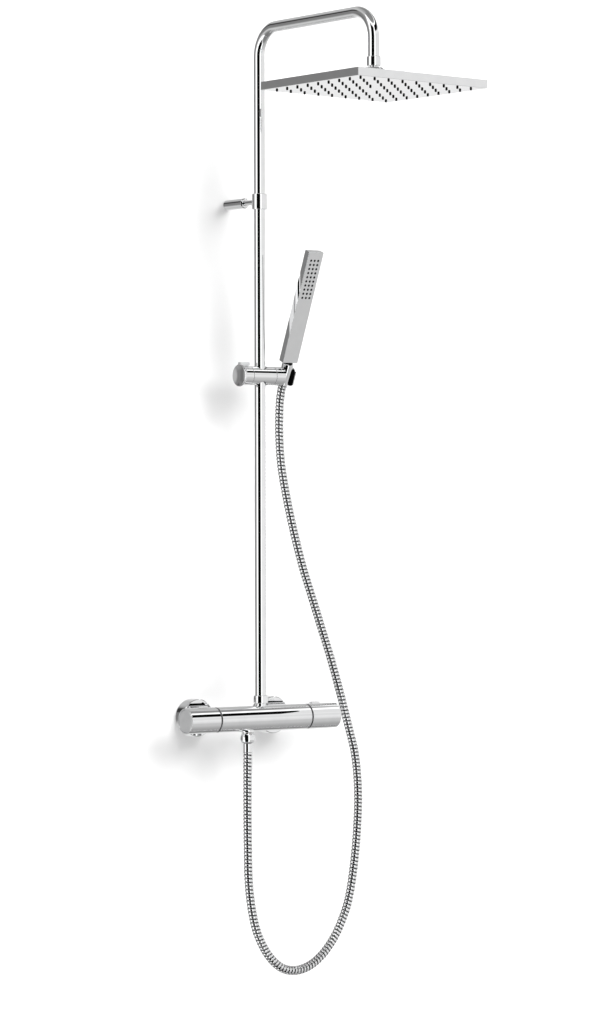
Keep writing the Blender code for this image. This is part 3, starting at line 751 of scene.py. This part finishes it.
def make_handle(side, word):
    """One handle with its stop ring, end cap and button."""
    body = f"{word}_handle"
    axis = (side, 0, 0)
    seam = bar_point(side * SEAM_X)
    rim = BAR_R - 0.0007
    profile = [(rim, 0.0012), (rim, -0.0012), (0.0092, -0.0012), (0.0092, 0.0012)]
    ring = Shape().lathe(profile, seam, axis, ROUND, 0.0001, ring=True)
    finish_piece(f"{word}_seam_ring", ring, "dark_plastic", "root", f"{word}_stop_ring")

    end = BAR_END_X - SEAM_X
    profile = [
        (BAR_R - 0.0020, end, 0.0), (BAR_R, end, 0.0009), (BAR_R, SEAM_HALF), (0.0178, SEAM_HALF),
        (0.0178, 0.0140), (0.0080, 0.0140), (0.0080, 0.0100), (0.0043, 0.0100),
        (0.0043, 0.0290), (0.0080, 0.0290), (0.0080, 0.0180), (0.0178, 0.0180),
        (0.0178, end - 0.0030), (0.0185, end - 0.0030), (0.0185, end, 0.0),
    ]
    shell = Shape().lathe(profile, seam, axis, FINE, 0.0003, ring=True)
    x = BUTTON_SIZE[0] / 2
    y = BUTTON_SIZE[1] / 2
    lean = Matrix.Rotation(math.radians(-BUTTON_LEAN), 4, "X")
    place = Matrix.Translation(bar_point(side * BUTTON_X)) @ lean
    slot = Shape().block((-x - GAP, -y - GAP, 0.0150), (x + GAP, y + GAP, 0.0260), 0.0011, place)
    finish_piece(f"{word}_grip", shell, "chrome", body, body, [slot])

    button = Shape().block((-x, -y, 0.0172), (x, y, 0.0232), 0.0008, place, 4)
    finish_piece(f"{word}_push_button", button, "chrome", f"{word}_button", f"{word}_button")

    profile = [
        (0, end - 0.0002, 0.0), (0.0178, end - 0.0002, 0.0006), (0.0184, end - 0.0012),
        (0.0184, end - 0.0027), (0, end - 0.0027),
    ]
    cap = Shape().lathe(profile, seam, axis, ROUND, 0.0003)
    finish_piece(f"{word}_end_cap", cap, "spun_chrome", body, f"{word}_handle_cap")


make_mixer()


# ---------------------------------------------------------------- riser, arm and wall post
def arc(centre, radius, start, end, steps):
    """Points on an arc, angles in degrees from the first axis towards the second."""
    found = []
    for i in range(steps + 1):
        angle = math.radians(start + (end - start) * i / steps)
        found.append((centre[0] + radius * math.cos(angle), centre[1] + radius * math.sin(angle)))
    return found


def make_riser():
    profile = [
        (0.0093, 0.0366), (0.0117, 0.0366, 0.0009), (0.0117, 0.0240, 0.0014), (0.0088, 0.0240),
        (0.0088, 0.0272), (0.0093, 0.0272),
    ]
    nut = Shape().lathe(profile, bar_point(0), UP, ROUND, 0.0003, ring=True)
    finish_piece("riser_foot_nut", nut, "chrome", "root", "riser_nut")

    foot = (0, BAR_Y, RISER_FOOT_Z)
    lower = Shape().sweep([foot, (0, BAR_Y, POST_Z - GAP)], RISER_R, ROUND)
    finish_piece("riser_lower_tube", lower, "chrome", "root", "riser_tube")

    top = ARM_Z - BEND_R
    points = [(BAR_Y, POST_Z + GAP), (BAR_Y, top - 0.0020)]
    points += arc((BAR_Y - BEND_R, top), BEND_R, 0, 90, 48)
    points += arc((ARM_Y + BEND_R, top), BEND_R, 90, 180, 48)
    points += [(ARM_Y, top - 0.0020), (ARM_Y, BALL_Z + 0.0175)]
    bent = Shape().sweep([(0, y, z) for y, z in points], RISER_R, ROUND)
    finish_piece("overhead_arm", bent, "chrome", "root", "arm_tube")


def make_wall_post():
    axis = (0, BAR_Y, POST_Z)
    wall = (0, 0, POST_Z)
    profile = [
        (0.0123, 0.0125, 0.0007), (0.0123, -0.0125, 0.0007), (0.0093, -0.0125), (0.0093, 0.0125),
    ]
    collar = Shape().lathe(profile, axis, UP, ROUND, 0.0002, ring=True)
    screw_at = (0, BAR_Y, POST_Z - 0.0070)
    tapped = Shape().lathe(rod(0.0018, 0.0200, 0.0), screw_at, ACROSS, 24, 0)
    bored = Shape().lathe(rod(0.0044, 0.0200, 0.0), axis, (0, 1, 0), 48, 0)
    finish_piece("riser_collar", collar, "chrome", "root", "post_collar", [tapped, bored])

    post = Shape().lathe(rod(0.0041, -BAR_Y - 0.0096, 0.0120), wall, OUT, SMALL, 0.0002)
    finish_piece("wall_post_rod", post, "chrome", "root", "post_rod")

    profile = [
        (0.0068, 0.0500, 0.0004), (0.0083, 0.0485, 0.0005), (0.0083, 0.0), (0.0066, 0.0),
        (0.0066, 0.0470), (0.0044, 0.0470), (0.0044, 0.0500),
    ]
    sleeve = Shape().lathe(profile, wall, OUT, ROUND, 0.0002, ring=True)
    finish_piece("wall_post_sleeve", sleeve, "chrome", "root", "post_sleeve")


make_riser()
make_wall_post()


# ---------------------------------------------------------------- the rain head
NOZZLE_HOLE_R = 0.0020
NOZZLE_LENGTH = 0.0026
MAT_SIDE = 0.2400
MAT_BOTTOM = -0.0228
MAT_TOP = -0.0213


def sphere_profile(radius, start, end, steps):
    """Profile points on a sphere, angles in degrees above its equator, with no rounding."""
    return [(r, h, 0.0) for r, h in arc((0, 0), radius, start, end, steps)]


def nozzle_grid():
    middle = (NOZZLE_ROWS - 1) / 2
    found = []
    for i in range(NOZZLE_ROWS):
        for j in range(NOZZLE_ROWS):
            if (i, j) != (middle, middle):
                found.append(((i - middle) * NOZZLE_PITCH, (j - middle) * NOZZLE_PITCH))
    return found


def make_joint(at, up):
    """The nut at the end of the arm, and the ball between its collar and its boss."""
    profile = [
        (0.0093, 0.0262), (0.0112, 0.0262, 0.0008), (0.0112, 0.0114, 0.0008), (0.0063, 0.0114),
        (0.0063, 0.0170), (0.0093, 0.0170),
    ]
    nut = Shape().lathe(profile, at, UP, ROUND, 0.0003, ring=True)
    finish_piece("arm_end_nut", nut, "chrome", "root", "arm_nut")

    neck = math.degrees(math.acos(0.0060 / 0.0086))
    profile = [(0.0060, 0.0166)] + sphere_profile(0.0086, neck, -65, 24)
    profile += [(0.0030, profile[-1][1]), (0.0030, 0.0166)]
    ball = Shape().lathe(profile, at, UP, SMALL, 0.0, ring=True, smooth=20)
    finish_piece("swivel_ball_polished", ball, "chrome", "root", "swivel_ball")

    profile = [(0.0135, 0.0090, 0.0006), (0.0170, 0.0060, 0.0012), (0.0170, 0.0008)]
    profile += sphere_profile(0.0089, 5.2, 28, 8)
    profile += [(0.0078, 0.0048), (0.0078, 0.0090)]
    collar = Shape().lathe(profile, at, up, ROUND, 0.0002, ring=True, smooth=20)
    finish_piece("ball_collar_ring", collar, "chrome", "head", "ball_collar")

    seat = HEAD_TOP + GAP
    profile = [
        (0.0170, 0.0005, 0.0003), (0.0170, seat), (0.0100, seat), (0.0100, -0.0160),
        (0.0040, -0.0160), (0.0040, -0.0102),
    ]
    profile += sphere_profile(0.01095, -68, 2, 12)
    boss = Shape().lathe(profile, at, up, ROUND, 0.0002, ring=True, smooth=20)
    finish_piece("ball_boss", boss, "chrome", "head", "head_boss")


def make_head():
    at = (0, ARM_Y, BALL_Z)
    tilt = Matrix.Translation(at) @ Matrix.Rotation(math.radians(HEAD_TILT), 4, "Y")
    up = tilt.to_3x3() @ Vector(UP)
    make_joint(at, up)

    half = HEAD_SIDE / 2
    bottom = HEAD_TOP - HEAD_THICK
    shell = Shape().block((-half, -half, bottom), (half, half, HEAD_TOP), 0.0005, tilt)
    inner = half - 0.0015
    ceiling = HEAD_TOP - 0.0015
    room = Shape().block((-inner, -inner, bottom - 0.0100), (inner, inner, ceiling), 0.0003, tilt, 1)
    hole = Shape().lathe(rod(0.0103, 0.0, -0.0200), at, up, SMALL, 0)
    finish_piece("head_tray_shell", shell, "chrome", "head", "head_shell", [room, hole])

    side = half - 0.0018
    face = Shape().block((-side, -side, bottom), (side, side, bottom + 0.0014), 0.0003, tilt, 2)
    holes = Shape()
    nubs = Shape()
    skirt = bottom + 0.0012
    tip = bottom - NOZZLE_LENGTH
    profile = [
        (0, skirt), (0.0019, skirt), (0.0019, bottom + 0.0002), (0.0018, bottom + 0.0001),
        (0.00165, tip + 0.0006), (0.00135, tip, 0.0003), (0.00045, tip), (0.00045, tip + 0.0012),
        (0, tip + 0.0012),
    ]
    for x, y in nozzle_grid():
        spot = tilt @ Vector((x, y, 0))
        holes.lathe(rod(NOZZLE_HOLE_R, 0.0, -0.0300), spot, up, 20, 0)
        nubs.lathe(profile, spot, up, 20, 0.0002)
    finish_piece("head_face_plate", face, "chrome", "head", "head_face", [holes])
    side = MAT_SIDE / 2
    nubs.block((-side, -side, MAT_BOTTOM), (side, side, MAT_TOP), 0.0003, tilt, 1)
    finish_piece("head_nozzles", nubs, "rubber", "head", "nozzle_mat")


make_head()


# ---------------------------------------------------------------- the outlet
def make_outlet():
    at = (OUTLET_X, BAR_Y, 0)
    profile = [
        (0.0066, -0.0228), (0.0092, -0.0228, 0.0010), (0.0112, -0.0250, 0.0040),
        (0.01215, -0.0292, 0.0060), (0.01215, -0.0338, 0.0060), (0.0112, -0.0374, 0.0040),
        (0.0092, -0.0392, 0.0014), (0.0056, -0.0392), (0.0056, -0.0370), (0.0066, -0.0370),
    ]
    nut = Shape().lathe(profile, at, UP, ROUND, 0.0003, ring=True, smooth=14)
    finish_piece("hose_outlet_nut", nut, "chrome", "root", "lower_hose_nut")
    profile = [
        (0.0053, -0.0349), (0.0053, -0.0395), (0.0070, -0.0395, 0.0003), (0.0074, -0.0400),
        (0.0074, -0.0537, 0.0004), (0.0035, -0.0537), (0.0035, -0.0349),
    ]
    ferrule = Shape().lathe(profile, at, UP, SMALL, 0.0002, ring=True)
    finish_piece("hose_outlet_ferrule", ferrule, "chrome", "root", "lower_ferrule")


make_outlet()

# ---------------------------------------------------------------- the sliding holder
HOLDER_AT = Vector((0, BAR_Y, HOLDER_Z))
LEAN = Matrix.Rotation(math.radians(HANDSET_LEAN), 4, "X")
SOCKET = Matrix.Translation(HOLDER_AT + Vector((SOCKET_X, 0, 0))) @ LEAN
SOCKET_AT = SOCKET.translation
SOCKET_UP = LEAN.to_3x3() @ Vector(UP)


def make_holder():
    profile = [(0.0114, 0.0090), (0.0114, -0.0090), (0.00935, -0.0090), (0.00935, 0.0090)]
    bush = Shape().lathe(profile, HOLDER_AT, UP, SMALL, 0.0003, ring=True)
    finish_piece("holder_bush", bush, "dark_plastic", "slider", "slider_bush")

    barrel = Shape().lathe(rod(BARREL_R, 0.0234, -0.0214), HOLDER_AT, ACROSS, FINE, 0.0003)
    cross = Shape().lathe(rod(0.0118, 0.0300, -0.0300), HOLDER_AT, UP, ROUND, 0)
    bore = Shape().lathe(rod(0.0052, 0.0300, -0.0300), HOLDER_AT, ACROSS, 48, 0)
    finish_piece("holder_barrel", barrel, "chrome", "holder", "holder_body", [cross, bore])

    profile = [
        (0, -0.0120), (0.0048, -0.0120), (0.0048, -0.0218), (BARREL_R, -0.0218),
        (BARREL_R, -0.0362, 0.0020), (0.0176, -0.0385, 0.0020), (0.0180, -0.0405, 0.0010),
        (0.0173, -0.0418, 0.0007), (0.0160, -0.0415, 0.0006), (0.0120, -0.04050, 0.0),
        (0.0080, -0.03975, 0.0), (0.0040, -0.03930, 0.0), (0, -0.03915),
    ]
    knob = Shape().lathe(profile, HOLDER_AT, ACROSS, FINE, 0.0003, smooth=14)
    finish_piece("lock_knob_shell", knob, "chrome", "lock_knob", "holder_knob")

    place = Matrix.Translation(HOLDER_AT)
    lever = Shape().block((-0.0412, -0.0035, 0.0160), (-0.0222, 0.0035, 0.0213), 0.0010, place, 3)
    finish_piece("lock_lever_tab", lever, "grey_plastic", "lock_knob", "holder_lever")


def make_socket():
    """The end of the barrel that holds the hand shower, slotted and cut back at its front."""
    profile = [
        (0, 0.0628), (BARREL_R, 0.0628, 0.0008), (BARREL_R, 0.0238), (0.0048, 0.0238),
        (0.0048, 0.0130), (0, 0.0130),
    ]
    body = Shape().lathe(profile, HOLDER_AT, ACROSS, FINE, 0.0003)
    cone = [
        (0, 0.0240), (0.0103, 0.0240), (0.0103, 0.0200), (0.0101, 0.0160), (0.0085, -0.0200),
        (0.0085, -0.0240), (0, -0.0240),
    ]
    bore = Shape().lathe(cone, SOCKET_AT, SOCKET_UP, SMALL, 0, mark=1)
    corner = (-0.0079, -0.0300, -0.0300)
    slot = Shape().block(corner, (0.0112, 0.0, 0.0300), 0.0001, SOCKET, 1, mark=1)
    lip = Shape().block(corner, (0.0200, -0.0108, 0.0300), 0.0001, SOCKET, 1)
    # The faces cut by the cone bore and the slot take the near-black rubber colour: painted shade inside
    # the socket.
    finish_piece("hand_shower_socket", body, "chrome rubber", "socket", "holder_socket",
                 [bore, slot, lip])


make_holder()
make_socket()


# ---------------------------------------------------------------- the hand shower
def spray_grid():
    """(x, z) of the hand shower's holes, three across and ten down."""
    top = HANDSET_FOOT + HANDSET_LENGTH - SPRAY_TOP
    return [(x * SPRAY_PITCH, top - row * SPRAY_PITCH) for row in range(10) for x in (-1, 0, 1)]


def make_hand_shower():
    out = LEAN.to_3x3() @ Vector(OUT)
    x = HANDSET_WIDTH / 2
    y = HANDSET_THICK / 2
    top = HANDSET_FOOT + HANDSET_LENGTH
    stick = Shape().block((-x, -y, HANDSET_FOOT), (x, y, top), 0.0006, SOCKET)
    holes = Shape()
    nubs = Shape()
    floor = rod(0.00199, -0.0001, -0.0010)
    nub = [
        (0, -0.0006), (0.00035, -0.0006), (0.00035, 0.0003), (0.00080, 0.0003, 0.0003),
        (0.00095, -0.0010), (0, -0.0010),
    ]
    for sx, sz in spray_grid():
        spot = SOCKET @ Vector((sx, -y, sz))
        holes.lathe(rod(0.0020, 0.0030, -0.0012), spot, out, 24, 0)
        nubs.lathe(floor, spot, out, 20, 0)
        nubs.lathe(nub, spot, out, 20, 0.0001)
    finish_piece("hand_shower_stick", stick, "chrome", "hand_shower", "handset_body", [holes])

    foot = HANDSET_FOOT + 0.0002
    profile = [
        (0, foot), (0.0076, foot), (0.0076, 0.0231), (0.0058, 0.0231), (0.0058, 0.0175), (0, 0.0175),
    ]
    neck = Shape().lathe(profile, SOCKET_AT, SOCKET_UP, SMALL, 0.0003)
    # The neck takes the near-black rubber colour and shows as a dark band between the hand shower and
    # the cone nut.
    finish_piece("hand_shower_neck", neck, "rubber", "hand_shower")
    finish_piece("hand_shower_nozzles", nubs, "rubber", "hand_shower", "handset_nozzles")

    profile = [
        (0.0061, 0.0228), (0.0090, 0.0228, 0.0003), (0.0098, 0.0219, 0.0006),
        (0.0098, 0.0190, 0.0010), (0.0096, 0.0160, 0.0010), (0.0081, -0.0140, 0.0004),
        (0.0074, -0.0150, 0.0004), (0.0040, -0.0150), (0.0040, 0.0160), (0.0061, 0.0160),
    ]
    nut = Shape().lathe(profile, SOCKET_AT, SOCKET_UP, ROUND, 0.0002, ring=True)
    finish_piece("hose_cone_nut", nut, "chrome", "hand_shower", "cone_nut")


make_hand_shower()

# ---------------------------------------------------------------- the nodes that stay
SLOTS = {part["node"]: part["material_slot"] for part in frame["record"]["subparts"]}
for name, node in NODES.items():
    if node.hide_render:
        continue
    finish = SLOTS[name] if SLOTS[name] in MATERIALS else "steel"
    node.data.materials.clear()
    node.data.materials.append(MATERIALS[finish])

# ---------------------------------------------------------------- stage and light
BLACK = 0.0258             # shades as they show on the screen, where 1 is white
PANEL = 1.1219
FLOOR_Z = -0.95
WALL_TOP = 4.0
WALL_Y = 0.0006            # just behind the object's back
ROOM = 6.0
PAINT = (0.80, 0.80, 0.80)
KEY_AT = Vector((0.9, -3.5, 2.3))
KEY_AIM = Vector((0, 0, 0.2))
KEY_WATTS = 190.0
KEY_SIZE = 3.0


def smooth_between(tree, source, start, end):
    inputs = {"Value": source, "From Min": start, "From Max": end}
    made = add_node(tree, "ShaderNodeMapRange", inputs, interpolation_type="SMOOTHSTEP")
    return made.outputs["Result"]


def calc(tree, operation, *sources):
    made = add_node(tree, "ShaderNodeMath", dict(enumerate(sources)), operation=operation)
    return made.outputs["Value"]


def band(tree, source, low, high, soft=2.0):
    """1 between low and high, 0 outside, with soft edges."""
    rise = smooth_between(tree, source, low - soft / 2, low + soft / 2)
    fall = smooth_between(tree, source, high - soft / 2, high + soft / 2)
    return calc(tree, "MULTIPLY", rise, calc(tree, "SUBTRACT", 1.0, fall))


def layer(tree, under, value, mask):
    """under where the mask is 0, value where it is 1."""
    inputs = {"Factor": mask, "A": under, "B": value}
    return add_node(tree, "ShaderNodeMix", inputs, data_type="FLOAT").outputs["Result"]


def level(shade):
    """The light level that shows as this shade on the screen."""
    return ((shade + 0.055) / 1.055) ** 2.4 if shade > 0.04 else shade / 12.92


def by_height(tree, rise, stops):
    """A light level read off stops of (degrees above the horizon, shade)."""
    place = vary(tree, rise, 0.0, 1.0, -90.0, 90.0)
    made = add_node(tree, "ShaderNodeValToRGB", {"Fac": place})
    elements = made.color_ramp.elements
    while len(elements) < len(stops):
        elements.new(0.5)
    for element, (height, shade) in zip(elements, stops):
        tone = level(shade)
        element.position = (height + 90) / 180
        element.color = (tone, tone, tone, 1.0)
    return made.outputs["Color"]


def axes(tree, output):
    """X, Y and Z of a texture coordinate."""
    place = add_node(tree, "ShaderNodeTexCoord")
    split = add_node(tree, "ShaderNodeSeparateXYZ", {"Vector": place.outputs[output]})
    return split.outputs["X"], split.outputs["Y"], split.outputs["Z"]


def mirrored_room(tree, x, y, z):
    """What the chrome mirrors: a floor that darkens towards the object, a pale room, a dark gap
    and a bright strip overhead, and a dark gap between two tall white panels."""
    # Degrees from straight out of the wall towards the left, and above the horizon.
    left = calc(tree, "MULTIPLY", x, -1.0)
    ahead = calc(tree, "MULTIPLY", y, -1.0)
    turn = calc(tree, "DEGREES", calc(tree, "ARCTAN2", left, ahead))
    rise = calc(tree, "DEGREES", calc(tree, "ARCSINE", z))

    front = by_height(tree, rise, [
        (-90, 0.40), (-60, 0.55), (-54, 0.63), (-48, 0.68), (-36, 0.76), (-21, 0.79), (-14, 0.87),
        (-7, 0.90), (0, 0.93), (8, 0.89), (16, 0.88), (22, 0.94), (26.5, 0.90), (28, BLACK),
        (44.5, BLACK), (45.5, PANEL), (51, PANEL), (53.5, 0.56), (60, 0.55), (90, 0.50),
    ])
    back = by_height(tree, rise, [
        (-90, 0.40), (-54, 0.52), (-46, 0.45), (-38, 0.76), (-28, 0.84), (-15, 0.94), (0, 0.93),
        (10, 0.88), (18, 0.84), (30, 0.74), (48, 0.72), (54, 0.55), (90, 0.50),
    ])
    wall = by_height(tree, rise, [
        (-90, 0.40), (-54, 0.50), (-37, 0.66), (-31, 0.80), (-24, 0.81), (-19, 0.72), (-13, 0.58),
        (-8, 0.50), (4, 0.50), (13, 0.49), (19, 0.52), (27, 0.56), (32, 0.62), (37, 0.80),
        (55, 0.70), (90, 0.50),
    ])
    to_back = calc(tree, "SUBTRACT", 1.0, smooth_between(tree, turn, -122, -104))
    glow = layer(tree, front, back, to_back)
    glow = layer(tree, glow, wall, smooth_between(tree, turn, 104, 118))
    # The wall side is lighter where it meets the white panel, and darker in two places beyond.
    pale = calc(tree, "MULTIPLY", band(tree, turn, 104, 128, 12), band(tree, rise, -20, 20, 12))
    glow = layer(tree, glow, level(0.72), pale)
    deep = calc(tree, "MULTIPLY", band(tree, turn, 140, 166, 6), band(tree, rise, 17, 30, 5))
    glow = layer(tree, glow, level(0.22), deep)
    dim = calc(tree, "MULTIPLY", band(tree, turn, 148, 166, 10), band(tree, rise, -8, 12, 5))
    glow = layer(tree, glow, level(0.41), calc(tree, "MULTIPLY", dim, 0.7))
    glow = layer(tree, glow, back, smooth_between(tree, turn, 166, 180))
    # The white panels, and the dark gap between them.
    panels = calc(tree, "MULTIPLY", band(tree, rise, -56, 50, 8), band(tree, turn, 3, 112, 6))
    glow = layer(tree, glow, level(PANEL), panels)
    gap = calc(tree, "MULTIPLY", band(tree, rise, -52, 40, 8), band(tree, turn, 24.5, 81, 2))
    return layer(tree, glow, level(BLACK), gap)


def make_studio():
    """A white room: one look for the chrome, one light for matt surfaces, white for the camera."""
    world = bpy.data.worlds.new("studio")
    world.use_nodes = True
    tree = world.node_tree
    tree.nodes.clear()
    x, y, z = axes(tree, "Generated")
    glow = mirrored_room(tree, x, y, z)

    # Matt surfaces are lit from above, a little more from the right.
    over = smooth_between(tree, z, -0.25, 0.55)
    aside = calc(tree, "ADD", 1.0, calc(tree, "MULTIPLY", x, 0.35))
    lit = calc(tree, "MULTIPLY", calc(tree, "MULTIPLY", over, aside), 0.85)
    matt = calc(tree, "ADD", 0.14, lit)

    rays = add_node(tree, "ShaderNodeLightPath")
    seen = layer(tree, glow, matt, rays.outputs["Is Diffuse Ray"])
    seen = layer(tree, seen, 1.0, rays.outputs["Is Camera Ray"])
    shine = add_node(tree, "ShaderNodeBackground", {"Color": seen})
    add_node(tree, "ShaderNodeOutputWorld", {"Surface": shine.outputs["Background"]})
    bpy.context.scene.world = world


def stage_material(name, is_wall):
    """Pale paint with a faint mottle, left out of what the chrome mirrors.  The camera sees the
    floor, and the wall far from the object, a little brighter, so that they run out into white."""
    made, tree, shader = new_material(name)
    rays = add_node(tree, "ShaderNodeLightPath")
    lift = 0.45
    hidden = rays.outputs["Is Glossy Ray"]
    if is_wall:
        x, _, _ = axes(tree, "Object")
        lift = smooth_between(tree, calc(tree, "ABSOLUTE", x), 0.9, 1.8)
        facing = add_node(tree, "ShaderNodeNewGeometry")
        hidden = calc(tree, "MAXIMUM", hidden, facing.outputs["Backfacing"])
    dark = [c * 0.995 for c in PAINT]
    feed(tree, shader, {
        "Base Color": tint(tree, noise(tree, 3.0, 2.0), dark, PAINT),
        "Roughness": 0.9,
        "Specular IOR Level": 0.0,
        "Emission Color": (1.0, 1.0, 1.0, 1.0),
        "Emission Strength": calc(tree, "MULTIPLY", rays.outputs["Is Camera Ray"], lift),
    })
    clear = add_node(tree, "ShaderNodeBsdfTransparent")
    mixed = add_node(tree, "ShaderNodeMixShader", {
        "Fac": hidden, 1: shader.outputs["BSDF"], 2: clear.outputs["BSDF"],
    })
    feed(tree, tree.nodes["Material Output"], {"Surface": mixed.outputs["Shader"]})
    return made


def make_sheet(name, corners, material):
    mesh = bpy.data.meshes.new(name)
    mesh.from_pydata(corners, [], [tuple(range(len(corners)))])
    mesh.materials.append(material)
    sheet = link(name, mesh)
    return sheet


def upright(x1, x2, z1, z2, y):
    """The corners of an upright rectangle that faces out of the wall."""
    return [(x1, y, z1), (x2, y, z1), (x2, y, z2), (x1, y, z2)]


def make_stage():
    wall = upright(-ROOM, ROOM, FLOOR_Z, WALL_TOP, WALL_Y)
    make_sheet("stage_wall", wall, stage_material("stage_wall", True))
    floor = [(x * ROOM, y * ROOM, FLOOR_Z) for x, y in ((-1, -1), (1, -1), (1, 1), (-1, 1))]
    make_sheet("stage_floor", floor, stage_material("stage_floor", False))


def make_card(name, shade, corners):
    """A card of flat colour that only the chrome sees: it paints a reflection into the chrome, lights
    nothing and casts no shadow.
    """
    made = bpy.data.materials.new(name)
    made.use_nodes = True
    tree = made.node_tree
    tree.nodes.clear()
    tone = level(shade)
    shine = add_node(tree, "ShaderNodeEmission", {"Color": (tone, tone, tone, 1.0)})
    add_node(tree, "ShaderNodeOutputMaterial", {"Surface": shine.outputs["Emission"]})
    card = make_sheet(name, corners, made)
    card.visible_camera = False
    card.visible_diffuse = False
    card.visible_shadow = False
    card.visible_transmission = False


def make_cards():
    """A pale card in front to the right, two thin dark ones behind the bar's top edge, and a grey
    one on the wall to the left of the mixer.  The pale and grey ones paint reflections into the
    chrome, and the dark ones paint the shade behind the bar."""
    # Painted reflection: a pale card that only the chrome mirrors, lighting nothing.
    y = -1.0
    make_card("stage_card", 0.90, [(0.80, y, 0.60), (2.6, y, 0.60), (2.6, y, 1.70), (1.46, y, 1.70)])
    # Painted shade: two black cards that the flanges mirror as the shaded wall behind the bar.
    y = -0.060
    low = 0.0177
    make_card("stage_painted_shade_left", 0.0, [
        (-0.0750, y, low), (-0.0333, y, low), (-0.0392, y, 0.0231), (-0.0452, y, 0.0198),
        (-0.0750, y, 0.0202),
    ])
    make_card("stage_painted_shade_right", 0.0, [
        (0.0912, y, low), (0.1218, y, low), (0.1218, y, 0.0197), (0.0912, y, 0.0204),
    ])
    # Painted reflection: a grey glow that the left flange's rim mirrors as the lit wall.
    make_card("stage_glow", 0.72, upright(-0.32, -0.17, -0.09, 0.08, 0.0))


def make_key_light():
    data = bpy.data.lights.new("key", "AREA")
    data.energy = KEY_WATTS
    data.shape = "DISK"
    data.size = KEY_SIZE
    key = bpy.data.objects.new("key", data)
    key.location = KEY_AT
    key.rotation_mode = "QUATERNION"
    key.rotation_quaternion = (KEY_AIM - KEY_AT).to_track_quat("-Z", "Y")
    key.visible_glossy = False
    bpy.context.scene.collection.objects.link(key)


make_studio()
make_stage()
make_cards()
make_key_light()
bpy.context.scene.view_settings.view_transform = "Standard"
